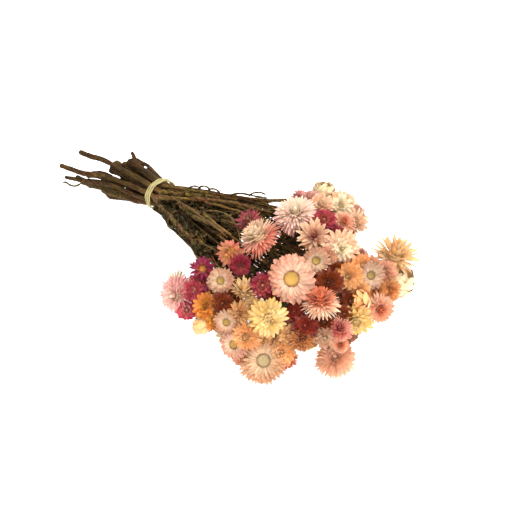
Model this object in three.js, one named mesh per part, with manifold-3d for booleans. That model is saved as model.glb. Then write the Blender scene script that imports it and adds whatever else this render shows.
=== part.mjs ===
// A tied bunch of dried strawflowers lying on its side. Millimetres, +Z up, +X from the stem ends
// to the blooms. Woody stems pass through a raffia band, fan out and fork into flower stalks,
// and each stalk ends just under the papery head that it carries.
import * as THREE from 'three';
import { mergeVertices } from 'three/addons/utils/BufferGeometryUtils.js';
import Module from 'manifold-3d';

const wasm = await Module();
wasm.setup();

// Driving dimensions
const MOUND = { x: 101, y: 116, z: 70 }; // half sizes of the mound of blooms, centred on x = y = 0
const MOUND_Z = 70; // height of the mound's centre over the surface it lies on
const SHOW_AZ = 48, SHOW_EL = 40; // the side of the mound that is laid out bloom by bloom, degrees
const SEAT = 9; // how far a bloom's heart lies under the mound's surface
const TIE_AT = new THREE.Vector3(-199.5, 24.5, 35);
const STEM_R = 3.25; // stem radius inside the band
const RING_IN = 3.95, RING_OUT = 10.35; // radii of the two rings of stems inside the band
const BAND_IN = 13.95, STRAND_W = 2.5, STRAND_T = 2.0; // raffia: inner radius, strand width, thickness
const BAND_SIDES = 20;
const BAND_HOLD = 5.5; // the stems run straight this far either side of the band's middle
const APEX_BACK = 60; // the fan of stems spreads from a point this far behind the band
const FAN_LOW = 13, FAN_OPEN = 10; // lower side of the fan: distance at the band, growth past it
const STALK_R0 = 1.8, STALK_R1 = 1.15; // flower stalk radius at its fork and under its head
const LEAF_FLAT = 0.3; // a shrivelled leaf's thickness over its width
const HUB_NEAR = 70, HUB_FAR = 150; // where a stem ends and its last stalk carries on, past the band
const STEM_STEP = 21, STALK_STEP = 34; // length of one straight piece of a stem and of a stalk
const CUP_BACK = 0.46; // how far the back of a head's cup lies behind its heart, over its radius
const FORK_BACK = 0.3, FORK_R = 1.4; // the fork between heads of one cluster: depth over radius, radius
const LINE_CLEAR = 1.2; // clearance that the strands settle to
const SETTLE = 220, SMOOTH_UNTIL = 180; // passes of settling, and those that smooth as well
const SKIN = 8; // strands stay this far under the mound's surface
const GAP = 0.32; // clearance between touching pieces
const FILL_COUNT = 18, FILL_NODES = 12, FILL_R = 21.5; // blooms of the far side and the underside
const FILL_PLACES = 900; // places on the mound that each of them chooses from
const STEM_SIDE = -0.72; // no bloom nearer the stems than this share of the mound's half length
const FEET = [[-42, -32], [18, -22], [-36, 46], [28, 40]]; // blooms that lie face down, x and y
const FOOT_R = 18, FOOT_Z = 5.6; // their radius and their hearts' height: the faces are pressed flat

// Bract colours and the rest
const COLOURS = {
  peach: 0xeec3a0, salmon: 0xe5907c, coral: 0xd9694a, crimson: 0x9c2f3f, pink: 0xdb9ba0,
  cream: 0xeadbb4, yellow: 0xdfbc62, orange: 0xdb8a45, rust: 0xa85434,
  stem: 0x5f4a30, raffia: 0xd3c690,
};

// Blooms of the show side. Each node holds one bloom, or a small cluster on one forked stalk.
// Bloom: [right, up, radius, [faces right, up, out], openness 0-1, lift towards the viewer, layers]
const SHOW_BLOOMS = [
  ['bloom_01_salmon', 'salmon', [-97, -9, 21, [-0.75, -0.25, 0.6], 0.8, 2, 3]],
  ['bloom_02_magenta', 'crimson', [-76, 11, 13, [-0.3, 0.35, 0.9], 1, 0, 2]],
  ['bloom_03_peach', 'peach', [-60, 1, 13.5, [-0.25, 0.1, 0.97], 1, 3, 2]],
  ['bloom_04_orange', 'orange', [-75, -27, 16, [-0.7, -0.15, 0.6], 0.7, 0, 2]],
  ['bloom_05_coral', 'coral', [-51, 27, 14.5, [-0.8, 0.1, 0.55], 0.7, 1, 2],
    [-42, 15, 11.5, [0, 0.3, 0.9], 0.6, -3, 2]],
  ['bloom_06_cream', 'cream', [-24, 38, 21, [-0.4, 0.35, 0.85], 0.95, 3, 3]],
  ['bloom_07_crimson', 'crimson', [-35, 54, 12.5, [-0.3, 0.6, 0.7], 1, 0, 2]],
  ['bloom_08_pink', 'pink', [7, 64, 22, [-0.1, 0.35, 0.93], 1, 1, 3]],
  ['bloom_09_peach', 'peach', [3, 3, 23, [0, 0, 1], 1, 5, 3]],
  ['bloom_10_yellow', 'yellow', [-18, -33, 20.5, [-0.1, 0.05, 1], 0.9, 3, 3]],
  ['bloom_11_peach', 'peach', [-22, -72, 25, [-0.05, -0.1, 1], 1, 4, 3]],
  ['bloom_12_pink', 'pink', [-55, -36, 13, [-0.15, 0, 1], 1, 0, 2]],
  ['bloom_13_pink', 'pink', [-51, -57, 14, [-0.45, -0.2, 0.9], 1, 0, 2]],
  ['bloom_14_ochre', 'rust', [-44, -29, 11.5, [0.3, 0, 0.9], 0.6, -4, 2],
    [-40, -8, 11.5, [0, 0.2, 1], 0.4, -4, 2], [-59, -19, 10, [0, 0, 1], 0.6, -5, 2]],
  ['bloom_15_peach', 'peach', [-37, -47, 14, [-0.1, -0.1, 1], 0.8, 0, 2]],
  ['bloom_16_peach', 'peach', [25, 19, 13, [0, 0.05, 1], 1, 2, 2]],
  ['bloom_17_pink', 'pink', [23, 41, 14, [0, 0.3, 0.95], 1, 0, 2],
    [36, 25, 9.5, [0.1, 0.2, 1], 0.6, -4, 2]],
  ['bloom_18_peach', 'peach', [50, 31, 18, [0, 0.1, 1], 0.95, 2, 3]],
  ['bloom_19_red', 'crimson', [32, 57, 12, [0, 0.25, 1], 0.8, 0, 2],
    [46, 52, 11.5, [0.1, 0.3, 1], 0.6, -1, 2]],
  ['bloom_20_yellow', 'yellow', [34, 81, 14, [0, 0.8, 0.6], 0.8, 0, 2],
    [29, 69, 9, [-0.1, 0.4, 0.9], 0.4, -2, 2]],
  ['bloom_21_peach', 'peach', [50, 70, 13.5, [0.1, 0.4, 0.9], 1, 0, 2]],
  ['bloom_22_yellow', 'yellow', [65, 55, 13, [0.4, 0.6, 0.7], 0.5, 0, 2]],
  ['bloom_23_orange', 'orange', [55, 5, 13.5, [0, 0, 1], 0.6, -2, 2],
    [67, 20, 10, [0.2, 0.2, 0.9], 0.5, -2, 2], [65, -8, 9.5, [0.1, -0.1, 1], 0.5, -3, 2]],
  ['bloom_24_cream', 'cream', [77, 6, 16, [0.2, 0, 0.98], 1, 2, 3],
    [93, 8, 10.5, [0.6, 0.2, 0.8], 0.6, -2, 2]],
  ['bloom_25_orange', 'orange', [101, 27, 19, [0.3, 0.9, 0.3], 0.9, 0, 3]],
  ['bloom_26_cream', 'cream', [105, 1, 18, [0.95, 0.1, 0.3], 0.8, 0, 3]],
  ['bloom_27_coral', 'coral', [88, -6, 13.5, [0.7, -0.2, 0.7], 0.7, 1, 2],
    [82, -22, 14, [0.6, -0.4, 0.7], 0.7, 0, 2]],
  ['bloom_28_yellow', 'yellow', [61, -32, 16, [0.45, -0.4, 0.8], 0.7, 1, 2],
    [70, -20, 14, [0.85, -0.1, 0.45], 0.6, 0, 2]],
  ['bloom_29_coral', 'coral', [29, -21, 19.5, [0, 0.85, 0.5], 0.9, 2, 3]],
  ['bloom_30_rust', 'rust', [36, -1, 14, [0, 0.1, 1], 0.7, -3, 2]],
  ['bloom_31_rust', 'rust', [12, -55, 14, [0.1, 0.3, 0.9], 0.8, -1, 2],
    [15, -40, 13, [0, 0.2, 1], 0.6, -3, 2]],
  ['bloom_32_orange', 'orange', [-5, -61, 13, [0.1, 0.1, 1], 0.8, -3, 2]],
  ['bloom_33_crimson', 'crimson', [47, -43, 13, [0.2, -0.1, 0.95], 0.8, 0, 2],
    [33, -49, 10.5, [0, -0.2, 1], 0.6, -1, 2], [49, -28, 9.5, [0.2, 0.1, 1], 0.5, -4, 2]],
  ['bloom_34_coral', 'coral', [45, -69, 18, [0.3, -0.6, 0.7], 0.8, 2, 3]],
  ['bloom_35_magenta', 'crimson', [-23, -3, 13.5, [0, 0, 1], 0.8, -4, 2]],
];
// Colours that the blooms of the far side take in turn
const FILL_COLOURS = ['peach', 'coral', 'yellow', 'pink', 'cream', 'orange', 'crimson', 'peach',
  'salmon', 'cream', 'rust', 'pink'];

// Stems. Place inside the band: ring and angle; end behind the band: length back, sideways, up;
// radius there. The long thin ones are twigs, the thick low ones root stock.
const STEMS = [
  ['out', 0, 50, 10, -3, 3.2], ['out', 40, 52, 8, 12, 2.2], ['out', 80, 50, 3, 13, 4.4],
  ['out', 120, 100, -17, 11, 1.9], ['out', 160, 110, -33, 0, 2.0], ['out', 200, 103, -37, -12, 1.5],
  ['out', 240, 60, -23, -11, 5.0], ['out', 280, 56, -17, -18, 4.6], ['out', 320, 52, -4, -17, 3.8],
  ['in', 20, 56, 0, 3, 3.4], ['in', 140, 64, -11, 3, 4.2], ['in', 260, 60, -13, -5, 3.6],
];
const UP = new THREE.Vector3(0, 0, 1);
const CENTRE = new THREE.Vector3(0, 0, MOUND_Z);

const vec = (x, y, z) => new THREE.Vector3(x, y, z);
const lerp = THREE.MathUtils.lerp;
const deg = THREE.MathUtils.degToRad;
const GOLDEN_ANGLE = Math.PI * (3 - Math.sqrt(5));

// Seeded random numbers, so each build gives the same bunch
let seed = 20260;
const random = () => {
  seed = (seed + 0x6d2b79f5) | 0;
  let t = Math.imul(seed ^ (seed >>> 15), 1 | seed);
  t = (t + Math.imul(t ^ (t >>> 7), 61 | t)) ^ t;
  return ((t ^ (t >>> 14)) >>> 0) / 4294967296;
};
const spread = (a) => (random() * 2 - 1) * a;

// ---------- Solids ----------

function solid(geometry) {
  const g = geometry.clone();
  for (const name of Object.keys(g.attributes)) if (name !== 'position') g.deleteAttribute(name);
  const merged = mergeVertices(g, 1e-4);
  return new wasm.Manifold(new wasm.Mesh({
    numProp: 3,
    vertProperties: new Float32Array(merged.attributes.position.array),
    triVerts: new Uint32Array(merged.index.array),
  }));
}

function geometryOf(manifold) {
  const mesh = manifold.getMesh();
  const g = new THREE.BufferGeometry();
  const points = new Float32Array(mesh.numVert * 3);
  for (let i = 0; i < mesh.numVert; i++)
    for (let k = 0; k < 3; k++) points[i * 3 + k] = mesh.vertProperties[i * mesh.numProp + k];
  g.setAttribute('position', new THREE.BufferAttribute(points, 3));
  g.setIndex(new THREE.BufferAttribute(new Uint32Array(mesh.triVerts), 1));
  return g;
}

// The largest body of a solid: loose scraps left by a cut are dropped
function largest(manifold) {
  const bodies = manifold.decompose();
  return bodies.reduce((a, b) => (b.volume() > a.volume() ? b : a), bodies[0]);
}

// A closed rod whose sections are centred on the given points. flat squeezes the section.
function rod(points, radii, sides, flat = 1) {
  const rows = points.length - 1;
  const g = new THREE.CylinderGeometry(1, 1, 1, sides, rows, false);
  const tangents = points.map((p, i) => points[Math.min(i + 1, rows)].clone()
    .sub(points[Math.max(i - 1, 0)]).normalize());
  let side = Math.abs(tangents[0].z) < 0.9 ? vec(0, 0, 1) : vec(1, 0, 0);
  const frames = tangents.map((t) => {
    side = side.clone().addScaledVector(t, -side.dot(t)).normalize();
    return [side, vec(0, 0, 0).crossVectors(t, side)];
  });
  const pos = g.attributes.position;
  for (let i = 0; i < pos.count; i++) {
    const row = Math.round((0.5 - pos.getY(i)) * rows);
    const [a, b] = frames[row];
    const p = points[row].clone()
      .addScaledVector(a, pos.getX(i) * radii[row] * flat)
      .addScaledVector(b, pos.getZ(i) * radii[row]);
    pos.setXYZ(i, p.x, p.y, p.z);
  }
  return g;
}

// ---------- The show plane and the mound ----------

const az = deg(SHOW_AZ), el = deg(SHOW_EL);
const SHOW = {
  right: vec(Math.cos(az), Math.sin(az), 0),
  up: vec(-Math.sin(az) * Math.sin(el), Math.cos(az) * Math.sin(el), Math.cos(el)),
  out: vec(Math.sin(az) * Math.cos(el), -Math.cos(az) * Math.cos(el), Math.sin(el)),
};
const showVector = (r, u, o) => vec(0, 0, 0).addScaledVector(SHOW.right, r)
  .addScaledVector(SHOW.up, u).addScaledVector(SHOW.out, o);

// The point of the mound's surface, SEAT below it, that the show plane's (right, up) looks at
function onMound(right, up) {
  const p = showVector(right, up, 0);
  const half = vec(MOUND.x - SEAT, MOUND.y - SEAT, MOUND.z - SEAT);
  const q = p.clone().divide(half), d = SHOW.out.clone().divide(half);
  const a = d.dot(d), b = q.dot(d), c = q.dot(q) - 1;
  const depth = (-b + Math.sqrt(Math.max(b * b - a * c, 0))) / a;
  return p.addScaledVector(SHOW.out, depth).add(CENTRE);
}

// ---------- Blooms ----------

const blooms = []; // every head: node, colour, centre, radius, axis, openness, layers
const nodes = new Map(); // node name to its colour and heads
function addBloom(node, colour, centre, radius, axis, open, layers) {
  const bloom = { node, centre, radius, axis: axis.normalize(), open, layers, planes: [],
    spin: random() * Math.PI };
  blooms.push(bloom);
  if (!nodes.has(node)) nodes.set(node, { colour, heads: [] });
  nodes.get(node).heads.push(bloom);
}
for (const [node, colour, ...heads] of SHOW_BLOOMS)
  for (const [right, up, radius, faces, open, lift, layers] of heads) {
    const centre = onMound(right, up).addScaledVector(SHOW.out, lift);
    addBloom(node, colour, centre, radius, showVector(...faces), open, layers);
  }

// Whether a disc at p lies wholly behind the blooms of the show side
const shown = [...blooms];
const onShow = (p) => new THREE.Vector2(p.dot(SHOW.right), p.dot(SHOW.up));
function behind(p, radius) {
  for (let turn = 0; turn < 12; turn++) {
    const a = (turn / 12) * Math.PI * 2;
    const rim = onShow(p).add(new THREE.Vector2(Math.cos(a), Math.sin(a)).multiplyScalar(radius));
    if (Math.min(...shown.map((b) => onShow(b.centre).distanceTo(rim) - b.radius)) > 2) return false;
  }
  return true;
}

// The far side and the underside: each next bloom goes to the emptiest place of the mound
const fills = FEET.map(([x, y]) => ({ centre: vec(x, y, FOOT_Z), radius: FOOT_R,
  axis: vec(x / 250, y / 250, -1) }));
blooms.push(...fills);
for (let n = 0; n < FILL_COUNT; n++) {
  let best = null, room = -1;
  for (let i = 0; i < FILL_PLACES; i++) {
    const z = 1 - (2 * i + 1) / FILL_PLACES, turn = i * GOLDEN_ANGLE;
    const flat = Math.sqrt(1 - z * z);
    const v = vec(flat * Math.cos(turn), flat * Math.sin(turn), z);
    if (v.x < STEM_SIDE) continue;
    const p = vec(v.x * (MOUND.x - SEAT), v.y * (MOUND.y - SEAT), v.z * (MOUND.z - SEAT - 3)).add(CENTRE);
    if (p.clone().sub(CENTRE).dot(SHOW.out) > 8) continue;
    const free = Math.min(...blooms.map((b) => b.centre.distanceTo(p) - b.radius));
    if (free <= room) continue;
    const size = [1, 0.85, 0.7].map((f) => f * FILL_R).find((r) => behind(p, r * 0.9));
    if (size) [room, best] = [free, { p, v, size }];
  }
  const radius = Math.min(best.size + spread(1), Math.max(room + 5, 13));
  const axis = vec(best.v.x / MOUND.x, best.v.y / MOUND.y, best.v.z / MOUND.z * 0.8).normalize();
  axis.add(vec(spread(0.25), spread(0.25), spread(0.15)));
  if (axis.z < -0.45) axis.z = -0.45; // those below are pressed sideways
  const bloom = { centre: best.p, radius, axis };
  fills.push(bloom);
  blooms.push(bloom);
}
blooms.length -= fills.length;
// Near neighbours share a node two by two, on a forked stalk
const links = fills.flatMap((a, i) => fills.slice(i + 1).map((b) => [a.centre.distanceTo(b.centre), a, b]));
links.sort((a, b) => a[0] - b[0]);
const clusters = [];
const taken = new Set();
for (const [, a, b] of links) {
  if (taken.has(a) || taken.has(b) || fills.length - clusters.length <= FILL_NODES) continue;
  taken.add(a).add(b);
  clusters.push([a, b]);
}
clusters.push(...fills.filter((f) => !taken.has(f)).map((f) => [f]));
clusters.forEach((heads, k) => {
  const colour = FILL_COLOURS[k % FILL_COLOURS.length];
  for (const { centre, radius, axis } of heads)
    addBloom(`bloom_${36 + k}_${colour}`, colour, centre, radius, axis, 0.85, 2);
});

// ---------- Stems and stalks ----------

const AXIS = CENTRE.clone().sub(TIE_AT).normalize();
const E1 = vec(0, 0, 0).crossVectors(UP, AXIS).normalize();
const E2 = vec(0, 0, 0).crossVectors(AXIS, E1);
const APEX = TIE_AT.clone().addScaledVector(AXIS, -APEX_BACK);
const FAN_SIDE = E1.clone().multiplyScalar(0.76).addScaledVector(E2, 0.65).normalize();
const along = (p) => p.clone().sub(TIE_AT).dot(AXIS);
const atBand = (back, e1, e2) => TIE_AT.clone().addScaledVector(AXIS, -back)
  .addScaledVector(E1, e1).addScaledVector(E2, e2);
const bearing = (p) => {
  const d = p.clone().sub(APEX), x = d.dot(AXIS);
  return new THREE.Vector2(d.dot(E1) / x, d.dot(E2) / x);
};
const baseOf = (b, back = 0) =>
  b.centre.clone().addScaledVector(b.axis, -(CUP_BACK * b.radius + GAP + back));

// Each node's stalk goes to the stem whose bearing is nearest; the bearings settle on their heads
const carried = [...nodes.values()].map((n) => n.heads[0]);
const stems = STEMS.map(([ring, angle, back, e1, e2, rear]) => {
  const rho = ring === 'in' ? RING_IN : RING_OUT;
  const o = new THREE.Vector2(Math.cos(deg(angle)) * rho, Math.sin(deg(angle)) * rho);
  return { o, back, e1, e2, rear, way: new THREE.Vector2(o.x * 0.034, o.y * 0.02), heads: [] };
});
for (let round = 0; round < 6; round++) {
  for (const s of stems) s.heads = [];
  for (const b of carried) {
    const q = bearing(baseOf(b));
    stems.reduce((a, s) => (s.way.distanceTo(q) < a.way.distanceTo(q) ? s : a)).heads.push(b);
  }
  for (const s of stems) {
    if (!s.heads.length) continue;
    const mean = new THREE.Vector2();
    for (const b of s.heads) mean.add(bearing(baseOf(b)));
    s.way.lerp(mean.divideScalar(s.heads.length), 0.6);
  }
}

// A strand is a chain of points with radii; the fixed ones stay, the others settle clear
const strands = [];
function strand(stem, points, radii, fixed, extra = {}) {
  const s = { stem, points, radii, fixed, ...extra };
  strands.push(s);
  return s;
}
function bezier(p0, p1, p2, p3, steps) {
  return new THREE.CubicBezierCurve3(p0, p1, p2, p3).getPoints(steps);
}

stems.forEach((s, i) => {
  const start = atBand(0, s.o.x, s.o.y);
  const reach = s.heads.length
    ? Math.max(...s.heads.map((b) => along(baseOf(b)))) : HUB_FAR;
  const hubAt = THREE.MathUtils.clamp(reach - 62, HUB_NEAR, HUB_FAR);
  const hub = APEX.clone().addScaledVector(AXIS, APEX_BACK + hubAt)
    .addScaledVector(E1, s.way.x * (APEX_BACK + hubAt))
    .addScaledVector(E2, s.way.y * (APEX_BACK + hubAt));
  const rearEnd = atBand(s.back, s.e1, s.e2);
  const rearCount = s.back > 80 ? 5 : 3;
  const behind = start.clone().addScaledVector(AXIS, -BAND_HOLD);
  const ahead = start.clone().addScaledVector(AXIS, BAND_HOLD);
  const rear = bezier(rearEnd, rearEnd.clone().addScaledVector(AXIS, s.back * 0.35),
    behind.clone().addScaledVector(AXIS, -s.back * 0.45), behind, rearCount);
  rear.slice(1, -1).forEach((p) => p.add(vec(0, spread(1.2), spread(1.2))));
  const steps = Math.round(hubAt / STEM_STEP);
  const fore = bezier(ahead, ahead.clone().addScaledVector(AXIS, hubAt * 0.35),
    hub.clone().addScaledVector(AXIS, -hubAt * 0.25), hub, steps);
  const points = [...rear, ...fore];
  const radii = points.map((p) => {
    const x = along(p);
    if (x < 0) return lerp(STEM_R, s.rear, Math.min(-x / s.back, 1) ** 0.6);
    return lerp(STEM_R, 2.1, Math.min(x / 90, 1));
  });
  const fixed = points.map((p, k) => k === 0 || Math.abs(along(p)) < BAND_HOLD + 1);
  s.main = strand(i, points, radii, fixed, { main: true });

  // Flower stalks fork off the stem soon after the band, the farthest one carries on from its end
  const farthest = s.heads.reduce((a, b) => (along(baseOf(b)) > along(baseOf(a)) ? b : a), s.heads[0]);
  let forks = i;
  for (const b of s.heads) {
    const foot = baseOf(b), x = along(foot);
    const far = b === farthest;
    let k = far ? points.length - 1 : rear.length + 1 + (forks++ % 3);
    while (k > rear.length && (along(points[k]) > x - 30 || points[k].distanceTo(foot) < 25)) k--;
    const from = points[k], length = from.distanceTo(foot);
    const heading = points[k].clone().sub(points[k - 1]).normalize();
    const path = bezier(from, from.clone().addScaledVector(heading, length * 0.35),
      baseOf(b, length * 0.3), baseOf(b, 5), Math.max(2, Math.round(length / STALK_STEP)));
    path.push(foot);
    const n = path.length - 1;
    strand(i, path, path.map((p, t) => lerp(STALK_R0, STALK_R1, t / n)),
      path.map((p, t) => t >= n - 1), { parent: [s.main, k], head: b });
  }
});

// Side twigs and shrivelled leaves on the outer stems, just in front of the band
stems.forEach((s, i) => {
  const out = E1.clone().multiplyScalar(s.o.x).addScaledVector(E2, s.o.y).normalize();
  if (STEMS[i][0] === 'in' || out.dot(FAN_SIDE) < -0.2) return;
  const host = s.main, k = host.points.findIndex((p) => along(p) > 14);
  const from = host.points[k], leaf = i % 3 === 1;
  const length = leaf ? 24 : 34;
  const tip = from.clone().addScaledVector(AXIS, length * 0.8).addScaledVector(out, length * 0.42);
  const bow = from.clone().addScaledVector(AXIS, length * 0.3).addScaledVector(out, length * 0.3);
  const path = bezier(from, bow, tip.clone().addScaledVector(out, 2), tip, 3);
  strand(i, path, leaf ? [0.8, 2.9, 2.3, 0.5] : [1.1, 1, 0.9, 0.6], path.map(() => false),
    { parent: [host, k], leaf });
});

// Heads that share a node hang together by a short fork behind their cups
for (const { heads } of nodes.values())
  for (let i = 1; i < heads.length; i++) {
    const a = heads[0], b = heads[i];
    const from = a.centre.clone().addScaledVector(a.axis, -FORK_BACK * a.radius);
    const to = b.centre.clone().addScaledVector(b.axis, -FORK_BACK * b.radius);
    strand(-1, [from, to], [FORK_R, FORK_R], [true, true], { joins: [a, b] });
  }

// Closest points of two segments
function closest(p1, q1, p2, q2) {
  const d1 = q1.clone().sub(p1), d2 = q2.clone().sub(p2), r = p1.clone().sub(p2);
  const a = d1.dot(d1), e = d2.dot(d2), f = d2.dot(r), c = d1.dot(r), b = d1.dot(d2);
  const den = a * e - b * b;
  let s = den > 1e-9 ? THREE.MathUtils.clamp((b * f - c * e) / den, 0, 1) : 0;
  let t = (b * s + f) / e;
  if (t < 0 || t > 1) {
    t = THREE.MathUtils.clamp(t, 0, 1);
    s = THREE.MathUtils.clamp((b * t - c) / a, 0, 1);
  }
  return { s, t, gap: r.addScaledVector(d1, s).addScaledVector(d2, -t) };
}
const segments = () => strands.flatMap((line) =>
  line.points.slice(1).map((_, k) => ({ line, k, a: line.points[k], b: line.points[k + 1] })));
const kin = (u, v) => u.line === v.line || (u.line.stem >= 0 && u.line.stem === v.line.stem);
// Stalks of one stem may touch only next to their forks
const nearFork = (u, v) => kin(u, v) && (u.line === v.line || u.k < 1 || v.k < 1);
const shift = (seg, t, d) => {
  if (!seg.line.fixed[seg.k]) seg.a.addScaledVector(d, 1 - t);
  if (!seg.line.fixed[seg.k + 1]) seg.b.addScaledVector(d, t);
};
const radiusAt = (seg, t) => lerp(seg.line.radii[seg.k], seg.line.radii[seg.k + 1], t);

// Settle: strands push each other and the heads away, and stay smooth, over the surface and
// inside the mound
const inner = vec(MOUND.x - SKIN, MOUND.y - SKIN, MOUND.z - SKIN);
for (let pass = 0; pass < SETTLE; pass++) {
  for (const line of strands) {
    if (line.parent) line.points[0] = line.parent[0].points[line.parent[1]].clone();
    for (let k = 1; k < line.points.length; k++) {
      if (line.fixed[k]) continue;
      const p = line.points[k];
      if (k < line.points.length - 1 && pass < SMOOTH_UNTIL) {
        const mid = line.points[k - 1].clone().add(line.points[k + 1]).multiplyScalar(0.5);
        p.lerp(mid, 0.08);
      }
      for (const b of blooms) {
        const own = line.head === b;
        if (own && k >= line.points.length - 2) continue;
        const heart = b.centre.clone().addScaledVector(b.axis, 0.1 * b.radius);
        const d = p.clone().sub(heart), need = 0.95 * b.radius + line.radii[k] + 1;
        const dist = d.length();
        if (dist < need) p.addScaledVector(d, (need - dist) / dist * 0.6);
      }
      p.z = Math.max(p.z, line.radii[k] + 0.8);
      const m = p.clone().sub(CENTRE).divide(inner);
      if (p.x > -40 && m.length() > 1) p.lerp(m.normalize().multiply(inner).add(CENTRE), 0.5);
    }
  }
  const all = segments();
  for (let i = 0; i < all.length; i++)
    for (let j = i + 1; j < all.length; j++) {
      const u = all[i], v = all[j];
      if (nearFork(u, v)) continue;
      const need = radiusAt(u, 0.5) + radiusAt(v, 0.5) + LINE_CLEAR;
      if (Math.min(u.a.x, u.b.x) - need > Math.max(v.a.x, v.b.x)) continue;
      if (Math.min(v.a.x, v.b.x) - need > Math.max(u.a.x, u.b.x)) continue;
      if (Math.min(u.a.y, u.b.y) - need > Math.max(v.a.y, v.b.y)) continue;
      if (Math.min(v.a.y, v.b.y) - need > Math.max(u.a.y, u.b.y)) continue;
      const { s, t, gap } = closest(u.a, u.b, v.a, v.b);
      const dist = gap.length();
      if (dist >= need || dist < 1e-6) continue;
      const push = gap.multiplyScalar((need - dist) / dist * 0.5);
      shift(u, s, push);
      shift(v, t, push.clone().negate());
    }
  for (const line of strands)
    line.points.forEach((p, k) => {
      const x = along(p);
      if (line.fixed[k] || x < 0 || x > HUB_FAR) return;
      const low = p.clone().sub(TIE_AT).dot(FAN_SIDE) + FAN_LOW - line.radii[k]
        + FAN_OPEN * Math.min(x / 50, 1);
      const hold = Math.min((HUB_FAR - x) / 30, 1);
      if (low < 0) p.addScaledVector(FAN_SIDE, -low * hold);
    });
}

// ---------- Meshes ----------

const bunch = new THREE.Group();
bunch.name = 'strawflower_bunch';
const looks = Object.fromEntries(Object.entries(COLOURS).map(([name, color]) =>
  [name, new THREE.MeshStandardMaterial({ color, roughness: 0.85, metalness: 0 })]));
function place(name, look, geometry) {
  geometry.computeVertexNormals();
  const mesh = new THREE.Mesh(geometry, looks[look]);
  mesh.name = name;
  bunch.add(mesh);
}

// Stems: where two would still touch, both get thinner there
for (let pass = 0; pass < 4; pass++) {
  const all = segments();
  for (let i = 0; i < all.length; i++)
    for (let j = i + 1; j < all.length; j++) {
      const u = all[i], v = all[j];
      if (kin(u, v)) continue;
      const { s, t, gap } = closest(u.a, u.b, v.a, v.b);
      const sum = radiusAt(u, s) + radiusAt(v, t), dist = gap.length() - GAP;
      if (dist >= sum) continue;
      for (const seg of [u, v])
        for (const k of [seg.k, seg.k + 1])
          seg.line.radii[k] = Math.max(seg.line.radii[k] * Math.max(dist, 0.1) / sum, 0.45);
    }
}

// Walls between neighbours: half spaces that a head's points stay in
for (const a of blooms) {
  for (const b of blooms) {
    if (a === b || a.node === b.node) continue;
    const d = b.centre.clone().sub(a.centre), dist = d.length();
    if (dist > a.radius + b.radius + 1) continue;
    const at = dist * a.radius / (a.radius + b.radius);
    a.planes.push([d.normalize(), at - GAP / 2]);
  }
  for (const seg of segments()) {
    const last = seg.line.head === a && seg.k === seg.line.points.length - 2;
    if (last || seg.line.joins?.includes(a)) continue;
    const { s, gap } = closest(seg.a, seg.b, a.centre, a.centre.clone().add(vec(0, 0, 1e-3)));
    const dist = gap.length(), r = Math.max(...seg.line.radii.slice(seg.k, seg.k + 2));
    if (dist < a.radius + r + 1) a.planes.push([gap.normalize(), dist - r - GAP]);
  }
  a.planes.push([a.axis.clone().negate(), CUP_BACK * a.radius]);
}

// A head: a ball with a domed disc and staggered rings of pointed bracts, in two or three layers.
// Each ring of points is [angle from the axis when closed, when open, radius at a tip, at a notch,
// which columns are tips]
const petalsOf = (b) => (b.layers === 3 ? 8 : b.radius > 12 ? 7 : 6);
const RINGS = {
  3: [[0, 0, 0.3, 0.3, 0], [20, 38, 0.42, 0.42, 0], [30, 52, 0.78, 0.6, 0], [38, 63, 0.52, 0.52, 0],
    [46, 76, 0.92, 0.72, 1], [56, 88, 0.6, 0.6, 0], [66, 102, 1, 0.82, 0],
    [118, 138, 0.5, 0.5, 0], [180, 180, CUP_BACK, CUP_BACK, 0]],
  2: [[0, 0, 0.3, 0.3, 0], [22, 42, 0.44, 0.44, 0], [36, 62, 0.86, 0.64, 0], [48, 77, 0.58, 0.58, 0],
    [62, 94, 1, 0.8, 1], [115, 135, 0.5, 0.5, 0], [180, 180, CUP_BACK, CUP_BACK, 0]],
};
function head(b) {
  const rings = RINGS[b.layers];
  const cols = petalsOf(b) * 2;
  const g = new THREE.SphereGeometry(1, cols, rings.length - 1);
  const turn = new THREE.Quaternion().setFromUnitVectors(vec(0, 1, 0), b.axis);
  const pos = g.attributes.position;
  rings.forEach(([shut, wide, tip, notch, phase], row) => {
    const wobble = Array.from({ length: cols }, () => [1 + spread(0.05), spread(3)]);
    for (let col = 0; col <= cols; col++) {
      const isTip = (col + phase) % 2 === 0;
      const inside = row > 0 && row < rings.length - 1;
      const [grow, nod] = inside ? wobble[col % cols] : [1, 0];
      const polar = deg(lerp(shut, wide, b.open) + nod);
      const round = (col / cols) * Math.PI * 2 + b.spin;
      const dir = vec(-Math.cos(round) * Math.sin(polar), Math.cos(polar),
        Math.sin(round) * Math.sin(polar)).applyQuaternion(turn);
      let r = b.radius * (isTip ? tip : notch) * grow;
      if (row === 0 || row === rings.length - 1) dir.copy(b.axis).multiplyScalar(row ? -1 : 1);
      for (const [n, at] of b.planes) {
        const towards = n.dot(dir);
        if (towards > 1e-6) r = Math.min(r, at / towards);
      }
      const p = b.centre.clone().addScaledVector(dir, r);
      pos.setXYZ(row * (cols + 1) + col, p.x, p.y, p.z);
    }
  });
  return g;
}

const floor = solid(new THREE.BoxGeometry(600, 600, 60).translate(0, 0, -30));
for (const [name, { colour, heads }] of nodes) {
  let made = solid(head(heads[0]));
  for (const b of heads.slice(1)) made = made.add(solid(head(b)));
  for (const line of strands)
    if (line.joins && line.joins[0] === heads[0])
      made = made.add(solid(rod(line.points, line.radii, 3)));
  made = largest(made.subtract(floor));
  place(name, colour, geometryOf(made));
}
stems.forEach((s, i) => {
  let made = null;
  for (const line of strands) {
    if (line.stem !== i) continue;
    const sides = line.main ? 5 : 4;
    const piece = solid(rod(line.points, line.radii, sides, line.leaf ? LEAF_FLAT : 1));
    made = made ? made.add(piece) : piece;
  }
  place(`stem_${String(i + 1).padStart(2, '0')}`, 'stem', geometryOf(largest(made)));
});

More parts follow.
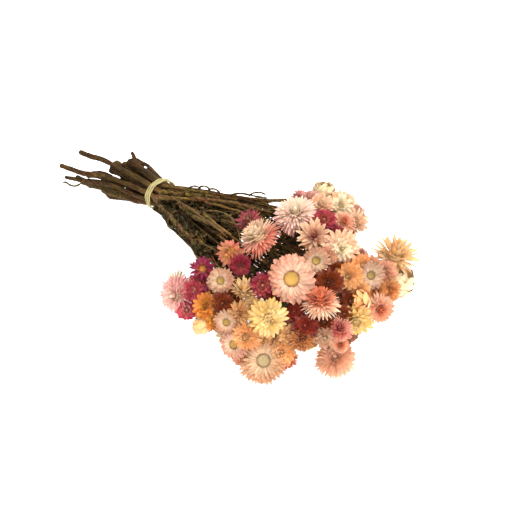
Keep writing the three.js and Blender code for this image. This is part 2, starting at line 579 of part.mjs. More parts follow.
// Raffia band: three turns side by side
const profile = [[0, -1.5], [1, -1.5], [STRAND_T, -1], [1.2, -0.5], [STRAND_T + 0.1, 0], [1.2, 0.5],
  [STRAND_T, 1], [1, 1.5], [0, 1.5]].map(([r, y]) => new THREE.Vector2(BAND_IN + r, y * STRAND_W));
profile.push(profile[0].clone());
const band = new THREE.LatheGeometry(profile, BAND_SIDES);
band.applyQuaternion(new THREE.Quaternion().setFromUnitVectors(vec(0, 1, 0), AXIS));
band.translate(TIE_AT.x, TIE_AT.y, TIE_AT.z);
place('raffia_tie', 'raffia', band);

// The frame's origin: middle of the whole bunch, on the surface it lies on
const box = new THREE.Box3().setFromObject(bunch);
bunch.position.set(-(box.min.x + box.max.x) / 2, -(box.min.y + box.max.y) / 2, -box.min.z);

export default bunch;
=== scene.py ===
"""A tied bunch of dried strawflowers lying on a pale floor: the finish of every piece round the
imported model, with the camera, lights and floor. Lengths are millimetres in the model's design
frame until a mesh is made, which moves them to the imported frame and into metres."""

import math
from collections import namedtuple

import bmesh
import bpy
import numpy as np
from mathutils import Matrix, Vector, noise
from mathutils.bvhtree import BVHTree


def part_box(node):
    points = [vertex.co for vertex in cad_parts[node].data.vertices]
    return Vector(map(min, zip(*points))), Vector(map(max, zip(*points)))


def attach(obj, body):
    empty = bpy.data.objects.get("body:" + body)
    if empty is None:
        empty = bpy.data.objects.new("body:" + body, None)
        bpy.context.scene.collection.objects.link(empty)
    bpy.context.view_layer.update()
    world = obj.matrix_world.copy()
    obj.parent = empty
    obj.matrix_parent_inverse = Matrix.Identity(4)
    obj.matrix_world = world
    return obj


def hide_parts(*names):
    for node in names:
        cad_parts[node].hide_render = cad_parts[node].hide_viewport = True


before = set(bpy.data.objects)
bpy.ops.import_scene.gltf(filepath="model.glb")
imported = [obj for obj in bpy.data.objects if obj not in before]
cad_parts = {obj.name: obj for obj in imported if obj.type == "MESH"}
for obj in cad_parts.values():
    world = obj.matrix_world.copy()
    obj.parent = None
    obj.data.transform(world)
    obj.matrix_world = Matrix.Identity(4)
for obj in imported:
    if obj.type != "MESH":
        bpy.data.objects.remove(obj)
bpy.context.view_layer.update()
scene = bpy.context.scene

# ---------- Driving dimensions, as in the model ----------
MM = 0.001
MOUND = np.array([101.0, 116.0, 70.0])  # half sizes of the mound of blooms
CENTRE = np.array([0.0, 0.0, 70.0])  # its centre
SHOW_AZ, SHOW_EL = math.radians(48), math.radians(40)  # the side that the camera sees
SEAT = 9.0  # how far a bloom's heart lies under the mound's surface
TIE_AT = np.array([-199.5, 24.5, 35.0])
BAND_IN, STRAND_W = 13.95, 2.5  # raffia: inner radius and width of one turn
CUP_BACK = 0.46  # how far the back of a head's cup lies behind its heart, over its radius
WALL_PRESS = 0.2  # how far a head reaches past the plane between it and its neighbour, likewise
LIFT_SHARE, LIFT_LIMITS = 0.5, (-1, 4)  # how much further a head reaches over a less lifted one
UNDER_OPEN, FAR_OPEN = 0.9, 0.85  # how open the half-hidden heads and the far side's are
FAR_PAIR = 52.0  # a far node longer than this holds two heads,
PART_ROUNDS = 10  # told apart in this many rounds
FAR_RIM = 0.95  # the share of a far head's points that its radius takes in
FAR_REACH = 0.92  # the bracts of the far side's blooms stop short of the solids' rim
FAR_DIP = -0.45  # these blooms look no further down than this,
HEART_BACK = 0.11  # and their hearts lie this far behind their middles, over the radius
FACE_DOWN = 12.0  # heads lower than this lie face down,
FOOT_Z = 5.6  # with their hearts this high
FLOOR_CLEAR = 0.25  # the lowest that a bract is pressed

# The camera: long lens, framed so that one pixel of 512 is 0.9 mm at the mound's centre
PIXEL, FRAME_PX = 0.9, 512
MOUND_PX = (288, 282)  # where the mound's centre shows
CAMERA_BACK = 15000.0
SENSOR = 36.0

SEED = 20260

tie_low, tie_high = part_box("raffia_tie")
SHIFT = np.array((tie_low + tie_high) / 2) / MM - TIE_AT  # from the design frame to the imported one

# ---------- Colours ----------


def rgb(code):
    """A hex colour as linear light."""
    c = np.array([code >> 16, code >> 8 & 255, code & 255]) / 255
    return np.where(c < 0.04045, c / 12.92, ((c + 0.055) / 1.055) ** 2.4)


# A look: innermost bracts, upper bracts, their tips, outermost bracts, disc
LOOKS = {
    "blush": (0xF7DEC2, 0xF3CFB4, 0xE4A284, 0xD88C68, 0xD2AA58),
    "shell": (0xF4DDB8, 0xE8C098, 0xDA9E6E, 0xF9E8D0, 0xCDB88C),
    "rose": (0xF4F0D8, 0xFDF0E4, 0xF8D6CA, 0xE88E86, 0xDCD0AA),
    "tan": (0xEDD6B4, 0xE0BA96, 0xCC9074, 0xC68468, 0xB8984E),
    "apricot": (0xFEFAE6, 0xFEEACC, 0xF6C09A, 0xFBDCBA, 0xDCC678),
    "salmon": (0xFCEEE0, 0xFEEAE2, 0xFABEBE, 0xD84A70, 0xD8A068),
    "coral": (0xF8A87A, 0xFABE98, 0xF2946A, 0xFEF6E2, 0xE09A48),
    "split": (0xFEF8E2, 0xFEF5E2, 0xFDE2C6, 0xF89A7C, 0xE6C888),
    "sunset": (0xFEDABA, 0xFFE4C8, 0xFECCAA, 0xFFF8EA, 0xE8B878),
    "blaze": (0xEC8C58, 0xFCE0C4, 0xF4B48C, 0xFCE6CE, 0xE8A048),
    "flame": (0xF0AC60, 0xF2C088, 0xE0944A, 0xF6D2A8, 0xE8A048),
    "ember": (0xFEDE84, 0xFDD8A6, 0xF4AE90, 0xF09890, 0xF0B850),
    "crimson": (0xE0806C, 0xCA3650, 0x901C3A, 0xC0305A, 0xC88444),
    "cerise": (0xF6B4AC, 0xE4526A, 0xC6365A, 0xEE647C, 0xC88444),
    "blossom": (0xC85A50, 0xF8D6B4, 0xFAE2C0, 0xE8AC90, 0xC8A060),
    "wheat": (0xF8D698, 0xF0C488, 0xD8A668, 0xE0B67C, 0xA08040),
    "ivory": (0xF8EDCC, 0xF3E4C0, 0xEAD2A2, 0xEDD9B0, 0xD4CA84),
    "marigold": (0xFEF2CC, 0xFDEABA, 0xFAD29A, 0xFAE0B2, 0xE4BC48),
    "berry": (0xE6C8A8, 0xC85060, 0xA4304C, 0xD4A488, 0xD09858),
    "wine": (0xC84450, 0xE27468, 0xF4C6AC, 0xFADFC4, 0xD09858),
    "magenta": (0xC87430, 0xAA2058, 0x88164A, 0x981A52, 0xC07C2C),
    "maroon": (0xB43A20, 0x9E2E1A, 0x78200E, 0x90281A, 0x7A3824),
    "rust": (0xAA4E12, 0x963C0A, 0x7C2E06, 0xA24612, 0x9A5E2C),
    "russet": (0xB85626, 0xC07840, 0xDCA068, 0xC8824A, 0xA86A34),
    "yellow": (0xFCF6CC, 0xFCEFB2, 0xF4D47E, 0xF0C66A, 0xCC9432),
    "cream": (0xFFFDEC, 0xFFFBE6, 0xFDF2D4, 0xFEF7E0, 0xD4CA84),
    "amber": (0xF6C24C, 0xEFA44A, 0xDA8230, 0xEAAC6A, 0xD8982C),
    "orange": (0xFDEAB4, 0xFAD290, 0xF2AC68, 0xF6C88C, 0xE4BC48),
    "ochre": (0xFDF2CC, 0xF8E2B0, 0xE8C078, 0xF0D090, 0xC09C4C),
    "dusty": (0xF8DCBC, 0xF2C29E, 0xE0A080, 0xE6AE92, 0xB0A060),
    "lilac": (0xE6CFAE, 0xD6B49A, 0xC89A80, 0xCC9480, 0xA89058),
}
LOOKS = {name: [rgb(c) for c in codes] for name, codes in LOOKS.items()}
WHITE = (1, 1, 1)

# ---------- Heads ----------
# node: heads of [right, up, radius, (faces right, up, out), openness, lift, style, look]
SHOW_HEADS = {
    "bloom_01_salmon": [(-98, -11.5, 21, (-0.72, -0.12, 0.66), 1, 2, "button", "salmon"),
                        (-85, -7, 12, (-0.7, -0.1, 0.6), 0.6, -2, "cup", "cerise")],
    "bloom_02_magenta": [(-76, 11, 13, (-0.3, 0.35, 0.9), 1, 0, "star", "magenta")],
    "bloom_03_peach": [(-60, 1, 13.5, (-0.25, 0.1, 0.97), 1, 3, "aster", "tan")],
    "bloom_04_orange": [(-73, -22, 14.5, (-0.3, 0.1, 0.95), 0.7, 0, "peony", "amber"),
                        (-77.5, -34, 13, (0.15, -1, 0.2), 0.7, -2, "bud", "wheat")],
    "bloom_05_coral": [(-51, 27, 15, (-0.5, -0.5, 0.7), 0.7, 1, "cup", "ember"),
                       (-43, 15.5, 11.5, (0.1, -0.3, 0.9), 0.6, -3, "pom", "crimson")],
    "bloom_06_cream": [(-24, 38, 21.5, (-0.6, 0.72, 0.35), 0.95, 3, "dome", "split")],
    "bloom_07_crimson": [(-35, 54, 12, (-0.3, 0.6, 0.7), 0.8, 0, "crown", "berry")],
    "bloom_08_pink": [(7, 59.5, 22.5, (-0.08, 0.68, 0.73), 1, 1, "button", "rose")],
    "bloom_09_peach": [(3, 3, 23, (0, 0, 1), 1, 5, "daisy", "blush")],
    "bloom_10_yellow": [(-18, -32.5, 20.5, (0.15, -0.1, 1), 0.9, 3, "peony", "yellow"),
                        (-15, -35, 10, (0.3, -0.2, 1), 0.5, 7, "cup", "yellow")],
    "bloom_11_peach": [(-22, -70.5, 23, (-0.05, 0.05, 1), 1, 4, "aster", "shell")],
    "bloom_12_pink": [(-55, -36, 12.5, (-0.15, 0, 1), 1, 1, "aster", "tan")],
    "bloom_13_pink": [(-47.5, -55.5, 15, (-0.45, -0.2, 0.9), 1, 0, "aster", "blush")],
    "bloom_14_ochre": [(-44, -28, 12, (0.3, 0, 0.9), 0.6, -3, "crown", "wheat"),
                       (-39.5, -8, 13.5, (0.1, 0.85, 0.45), 0.35, -3, "crown", "ochre"),
                       (-59, -19, 12, (0, 0, 1), 0.6, -3, "full", "rust")],
    "bloom_15_peach": [(-37, -48, 16, (-0.3, -0.3, 0.9), 0.9, 0, "pom", "orange")],
    "bloom_16_peach": [(25, 19, 13.5, (0, 0.05, 1), 1, 2, "aster", "tan")],
    "bloom_17_pink": [(23.5, 40.5, 16, (-0.1, 0.35, 0.9), 0.9, 0, "crown", "blossom"),
                      (36, 23, 11, (0.1, 0.2, 1), 0.6, -2, "pom", "dusty")],
    "bloom_18_peach": [(47.5, 31, 19, (-0.1, 0.1, 1), 0.9, 2, "peony", "apricot"),
                       (48, 29.5, 12, (0.15, 0.1, 1), 0.7, 5, "cup", "cream")],
    "bloom_19_red": [(32.5, 55, 12.5, (0, 0.25, 1), 0.8, 4, "full", "crimson"),
                     (50, 53, 12.5, (0.1, 0.3, 1), 0.8, -1, "pom", "blaze")],
    "bloom_20_yellow": [(34, 78, 13.5, (-0.3, 0.75, 0.5), 0.7, -1, "bud", "ivory"),
                        (30, 69, 12, (-0.1, 0.4, 0.9), 0.6, -2, "peony", "apricot")],
    "bloom_21_peach": [(48.5, 70, 14.5, (0.1, 0.4, 0.9), 0.9, 0, "peony", "apricot"),
                       (47.5, 68.5, 12, (0.1, 0.3, 0.9), 0.9, 3, "cup", "cream")],
    "bloom_22_yellow": [(60.5, 53.5, 13, (0.8, 0.3, 0.5), 0.6, 0, "crown", "apricot")],
    "bloom_23_orange": [(55, 5, 15, (-0.3, 0, 1), 0.7, -2, "peony", "orange"),
                        (66, 14.5, 11.5, (0.2, 0.2, 0.9), 0.6, -2, "peony", "orange"),
                        (63, -7, 11.5, (0.1, -0.1, 1), 0.6, -3, "peony", "orange")],
    "bloom_24_cream": [(74, 6, 14, (0.1, 0, 1), 1, 2, "aster", "lilac"),
                       (87, 9, 13, (0.5, 0.2, 0.8), 0.8, -1, "pom", "dusty")],
    "bloom_25_orange": [(96, 22, 24, (0.25, 0.85, 0.42), 0.8, -1, "cup", "marigold")],
    "bloom_26_cream": [(98.5, -7, 20.5, (0.2, 0.9, 0.4), 0.8, -2, "bud", "ivory")],
    "bloom_27_coral": [(89, -7, 14.5, (0.5, -0.1, 0.8), 0.8, 0, "pom", "flame"),
                       (81, -23, 16, (0.35, -0.35, 0.85), 0.9, 0, "pom", "blaze")],
    "bloom_28_yellow": [(62, -33, 16.5, (-0.1, -0.55, 0.8), 0.8, 1, "peony", "yellow"),
                        (68, -18, 14.5, (-0.75, 0.2, 0.6), 0.9, 1, "bud", "flame")],
    "bloom_29_coral": [(29, -20.5, 19.5, (0, 0.85, 0.5), 0.95, 2, "dome", "coral")],
    "bloom_30_rust": [(36, -1, 15.5, (0, 0.1, 1), 0.7, -3, "peony", "rust")],
    "bloom_31_rust": [(12, -51, 13.5, (0.1, 0.2, 0.95), 0.8, -1, "pom", "russet"),
                      (15, -40, 14, (0, 0.2, 1), 0.7, -3, "full", "maroon")],
    "bloom_32_orange": [(-6, -63, 14, (0.1, 0.1, 1), 0.8, -3, "peony", "orange")],
    "bloom_33_crimson": [(46, -42, 14, (0.05, 0.35, 0.9), 0.8, 0, "pom", "wine"),
                         (33, -49, 11.5, (0, -0.2, 1), 0.6, -2, "full", "tan"),
                         (49, -29, 11.5, (0.2, 0.1, 1), 0.5, -4, "full", "rust")],
    "bloom_34_coral": [(43, -70.5, 20.5, (-0.12, 0.45, 0.9), 0.95, 2, "button", "sunset")],
    "bloom_35_magenta": [(-23, -3, 14, (0, 0, 1), 0.8, -4, "full", "crimson")],
}
# Half-hidden heads between those, that share their nodes: (node, right, up, radius, sink, look)
UNDER_HEADS = [
    ("bloom_29_coral", 5, -26, 13, 11, "maroon"), ("bloom_28_yellow", 56, -17, 13, 9, "rust"),
    ("bloom_33_crimson", 32, -36, 13, 9, "rust"), ("bloom_14_ochre", -50, -13, 12, 10, "rust"),
    ("bloom_31_rust", 0, -48, 12, 9, "wheat"), ("bloom_18_peach", 41, 43, 11, 10, "crimson"),
    ("bloom_21_peach", 42, 68, 11, 7, "orange"), ("bloom_04_orange", -66, -9, 11, 8, "magenta"),
    ("bloom_24_cream", 76, 13.5, 11, 9, "dusty"), ("bloom_27_coral", 79, -8, 13, 8, "flame"),
    ("bloom_10_yellow", -33, -22, 12, 9, "ochre"), ("bloom_12_pink", -47, -44, 12, 8, "dusty"),
    ("bloom_17_pink", 28, 31, 12, 8, "dusty"), ("bloom_16_peach", 26, 5, 12, 10, "rust"),
    ("bloom_30_rust", 22, -8, 11, 10, "rust"), ("bloom_35_magenta", -12, -14, 12, 9, "maroon"),
    ("bloom_02_magenta", -79, -1, 11, 7, "crimson"), ("bloom_04_orange", -67, -34, 10, 4, "amber"),
    ("bloom_13_pink", -41, -66, 11, 8, "dusty"), ("bloom_23_orange", 43, 10, 11, 9, "rust"),
    ("bloom_01_salmon", -91, -25, 11, 9, "cerise"), ("bloom_31_rust", -2, -20, 11, 10, "maroon"),
    ("bloom_15_peach", -23, -50, 11, 9, "orange"), ("bloom_34_coral", 47, -56, 9, 5, "blaze"),
]
# The look and style of the far side's colours
FAR_LOOKS = {"peach": ("blush", "daisy"), "coral": ("coral", "pom"), "yellow": ("yellow", "full"),
             "pink": ("rose", "daisy"), "cream": ("cream", "full"), "orange": ("orange", "star"),
             "crimson": ("crimson", "pom"), "salmon": ("salmon", "pom"), "rust": ("rust", "cup")}

SHOW = np.array([
    [math.cos(SHOW_AZ), math.sin(SHOW_AZ), 0],
    [-math.sin(SHOW_AZ) * math.sin(SHOW_EL), math.cos(SHOW_AZ) * math.sin(SHOW_EL), math.cos(SHOW_EL)],
    [math.sin(SHOW_AZ) * math.cos(SHOW_EL), -math.cos(SHOW_AZ) * math.cos(SHOW_EL), math.sin(SHOW_EL)],
])  # rows: right, up and out of the picture


def unit(v):
    v = np.asarray(v, float)
    return v / np.linalg.norm(v, axis=-1, keepdims=True)


def in_view(points):
    """How far to the right and up of the mound's centre points show."""
    return (points - CENTRE) @ SHOW[0], (points - CENTRE) @ SHOW[1]


def on_mound(right, up):
    """The point SEAT under the mound's surface that shows at (right, up)."""
    p = np.array([right, up, 0]) @ SHOW
    half = MOUND - SEAT
    q, d = p / half, SHOW[2] / half
    a, b, c = d @ d, q @ d, q @ q - 1
    return p + SHOW[2] * (-b + math.sqrt(max(b * b - a * c, 0))) / a + CENTRE


def new_head(node, centre, radius, axis, opened, lift, style, look, fine=False):
    return {"node": node, "centre": centre, "radius": radius, "axis": axis, "open": opened,
            "lift": lift, "style": style, "look": look, "fine": fine}


def show_heads():
    return [new_head(node, on_mound(right, up) + SHOW[2] * lift, radius, unit(np.array(faces) @ SHOW),
                     opened, lift, style, look, fine=True)
            for node, rows in SHOW_HEADS.items()
            for right, up, radius, faces, opened, lift, style, look in rows]


def under_heads():
    return [new_head(node, on_mound(right, up) - SHOW[2] * sink, radius, SHOW[2], UNDER_OPEN,
                     -sink, "full", look)
            for node, right, up, radius, sink, look in UNDER_HEADS]


def vertex_vectors(mesh, key):
    """One vector of each vertex, such as its co or its normal."""
    data = np.empty(len(mesh.vertices) * 3, np.float32)
    mesh.vertices.foreach_get(key, data)
    return data.reshape(-1, 3)


def node_points(ob):
    """The points of a CAD node, in the design frame."""
    return vertex_vectors(ob.data, "co").astype(float) / MM - SHIFT


def parted(points):
    """The points of each head that a far node holds, with their middle."""
    longest = np.linalg.svd(points - points.mean(0), full_matrices=False)[2][0]
    place = (points - points.mean(0)) @ longest
    count = 2 if np.ptp(place) > FAR_PAIR else 1
    nearest = (place > 0) * (count - 1)
    for _ in range(PART_ROUNDS):
        middles = np.array([points[nearest == k].mean(0) for k in range(count)])
        nearest = np.linalg.norm(points[:, None] - middles, axis=2).argmin(1)
    return [(points[nearest == k], middle) for k, middle in enumerate(middles)]


def far_heads():
    """The blooms of the far side, measured on the model's solids, which hold one or two heads each."""
    found = []
    for node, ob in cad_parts.items():
        if node in SHOW_HEADS or not node.startswith("bloom"):
            continue
        look, style = FAR_LOOKS[node.split("_")[-1]]
        for points, middle in parted(node_points(ob)):
            radius = np.quantile(np.linalg.norm(points - middle, axis=1), FAR_RIM)
            axis = unit((middle - CENTRE) / MOUND**2)
            axis = unit([axis[0], axis[1], max(axis[2], FAR_DIP)])
            centre = middle - HEART_BACK * radius * axis
            if middle[2] < FACE_DOWN:
                axis, centre = np.array([0.0, 0.0, -1.0]), np.array([middle[0], middle[1], FOOT_Z])
            found.append(new_head(node, centre, radius * FAR_REACH, axis, FAR_OPEN, 0, style, look))
    return found


def find_walls(heads):
    """Where each head gives way to its neighbours: planes that its bracts bend along."""
    for a in heads:
        a["walls"] = []
        for b in heads:
            d = b["centre"] - a["centre"]
            dist = np.linalg.norm(d)
            if a is b or dist > a["radius"] + b["radius"]:
                continue
            above = np.clip((a["lift"] - b["lift"]) * LIFT_SHARE, *LIFT_LIMITS)
            at = dist * a["radius"] / (a["radius"] + b["radius"]) + WALL_PRESS * a["radius"] + above
            a["walls"].append((d / dist, at))


# ---------- Meshes ----------


AT_RIM = 0.999  # blade coordinates past this are a blade's rim, which gets a sharp edge


def set_tints(mesh, tints):
    tint = mesh.attributes.new("tint", "FLOAT_COLOR", "POINT")
    tint.data.foreach_set("color", np.column_stack([tints, np.ones(len(tints))]).ravel())


def add_object(name, data):
    ob = bpy.data.objects.new(name, data)
    scene.collection.objects.link(ob)
    return ob


class Build:
    """Closed bodies of one piece, as triangles, with a tint and blade coordinates at each point."""

    def __init__(self):
        self.points, self.faces, self.tints, self.blades, self.slots = [], [], [], [], []
        self.count = 0

    def add(self, points, faces, tints, blades=(0, 0, 0), slot=0):
        """points (copies, n, 3), one set of faces for them all, tints and blades to match."""
        copies, n = points.shape[:2]
        step = self.count + np.arange(copies)[:, None, None] * n
        self.points.append(points.reshape(-1, 3))
        self.faces.append((np.asarray(faces)[None] + step).reshape(-1, 3))
        self.tints.append(np.broadcast_to(tints, points.shape).reshape(-1, 3))
        self.blades.append(np.broadcast_to(blades, points.shape).reshape(-1, 3))
        self.slots.append(np.full(copies * len(faces), slot))
        self.count += copies * n

    def make(self, name, materials):
        points = (np.concatenate(self.points) + SHIFT) * MM
        faces = np.concatenate(self.faces).astype(np.int32)
        blades = np.concatenate(self.blades)
        mesh = bpy.data.meshes.new(name)
        mesh.vertices.add(len(points))
        mesh.vertices.foreach_set("co", points.astype(np.float32).ravel())
        mesh.loops.add(faces.size)
        mesh.loops.foreach_set("vertex_index", faces.ravel())
        mesh.polygons.add(len(faces))
        mesh.polygons.foreach_set("loop_start", np.arange(0, faces.size, 3, dtype=np.int32))
        for material in materials:
            mesh.materials.append(material)
        mesh.polygons.foreach_set("material_index", np.concatenate(self.slots).astype(np.int32))
        mesh.polygons.foreach_set("use_smooth", np.ones(len(faces), bool))
        set_tints(mesh, np.concatenate(self.tints))
        blade = mesh.attributes.new("blade", "FLOAT_VECTOR", "POINT")
        blade.data.foreach_set("vector", blades.astype(np.float32).ravel())
        mesh.update(calc_edges=True)
        mesh.validate()
        rim = (np.abs(blades[:, 1]) > AT_RIM) | (blades[:, 0] > AT_RIM)
        ends = np.empty(len(mesh.edges) * 2, np.int32)
        mesh.edges.foreach_get("vertices", ends)
        sharp = mesh.attributes.new("sharp_edge", "BOOLEAN", "EDGE")
        sharp.data.foreach_set("value", rim[ends.reshape(-1, 2)].all(1))
        return add_object(name, mesh)


def blade_template(rows, cols):
    """A closed thin blade. Returns u along it, v across it, side (front 1, back -1, rim 0), faces."""
    corners, front, back, faces = [], {}, {}, []

    def put(u, v, side):
        corners.append((u, v, side))
        return len(corners) - 1

    for i, u in enumerate(rows[:-1]):
        across = [2 * j / (cols - 1) - 1 for j in range(cols)]
        for j, v in enumerate(across):
            front[i, j] = put(u, v, 0 if j in (0, cols - 1) else 1)
        for j, v in enumerate(across):
            back[i, j] = front[i, j] if j in (0, cols - 1) else put(u, v, -1)
    tip = put(rows[-1], 0, 0)
    last = len(rows) - 2
    for j in range(cols - 1):
        for i in range(last):
            a, b, c, d = front[i, j], front[i, j + 1], front[i + 1, j + 1], front[i + 1, j]
            faces += [(a, b, c), (a, c, d)]
            a, b, c, d = back[i, j], back[i, j + 1], back[i + 1, j + 1], back[i + 1, j]
            faces += [(a, c, b), (a, d, c)]
        faces.append((front[last, j], front[last, j + 1], tip))
        faces.append((back[last, j + 1], back[last, j], tip))
        a, b, c, d = front[0, j], back[0, j], back[0, j + 1], front[0, j + 1]
        if a != b:
            faces.append((a, b, c))
        if c != d:
            faces.append((a, c, d))
    u, v, side = np.array(corners, float).T
    return u, v, side, np.array(faces)


FINE_BLADE = blade_template((0, 0.22, 0.45, 0.64, 0.8, 0.92, 1), 5)
PLAIN_BLADE = blade_template((0, 0.3, 0.58, 0.8, 0.93, 1), 3)
LEAF_BLADE = blade_template((0, 0.12, 0.28, 0.45, 0.62, 0.8, 1), 3)


def smooth(x, low=0.0, high=1.0):
    t = np.clip((x - low) / (high - low), 0, 1)
    return t * t * (3 - 2 * t)


def mix(a, b, t):
    return a + (b - a) * t


def frame_of(axis):
    """Two directions square to the axis."""
    side = unit(np.cross(axis, [0, 0, 1] if abs(axis[2]) < 0.9 else [1, 0, 0]))
    return side, np.cross(axis, side)


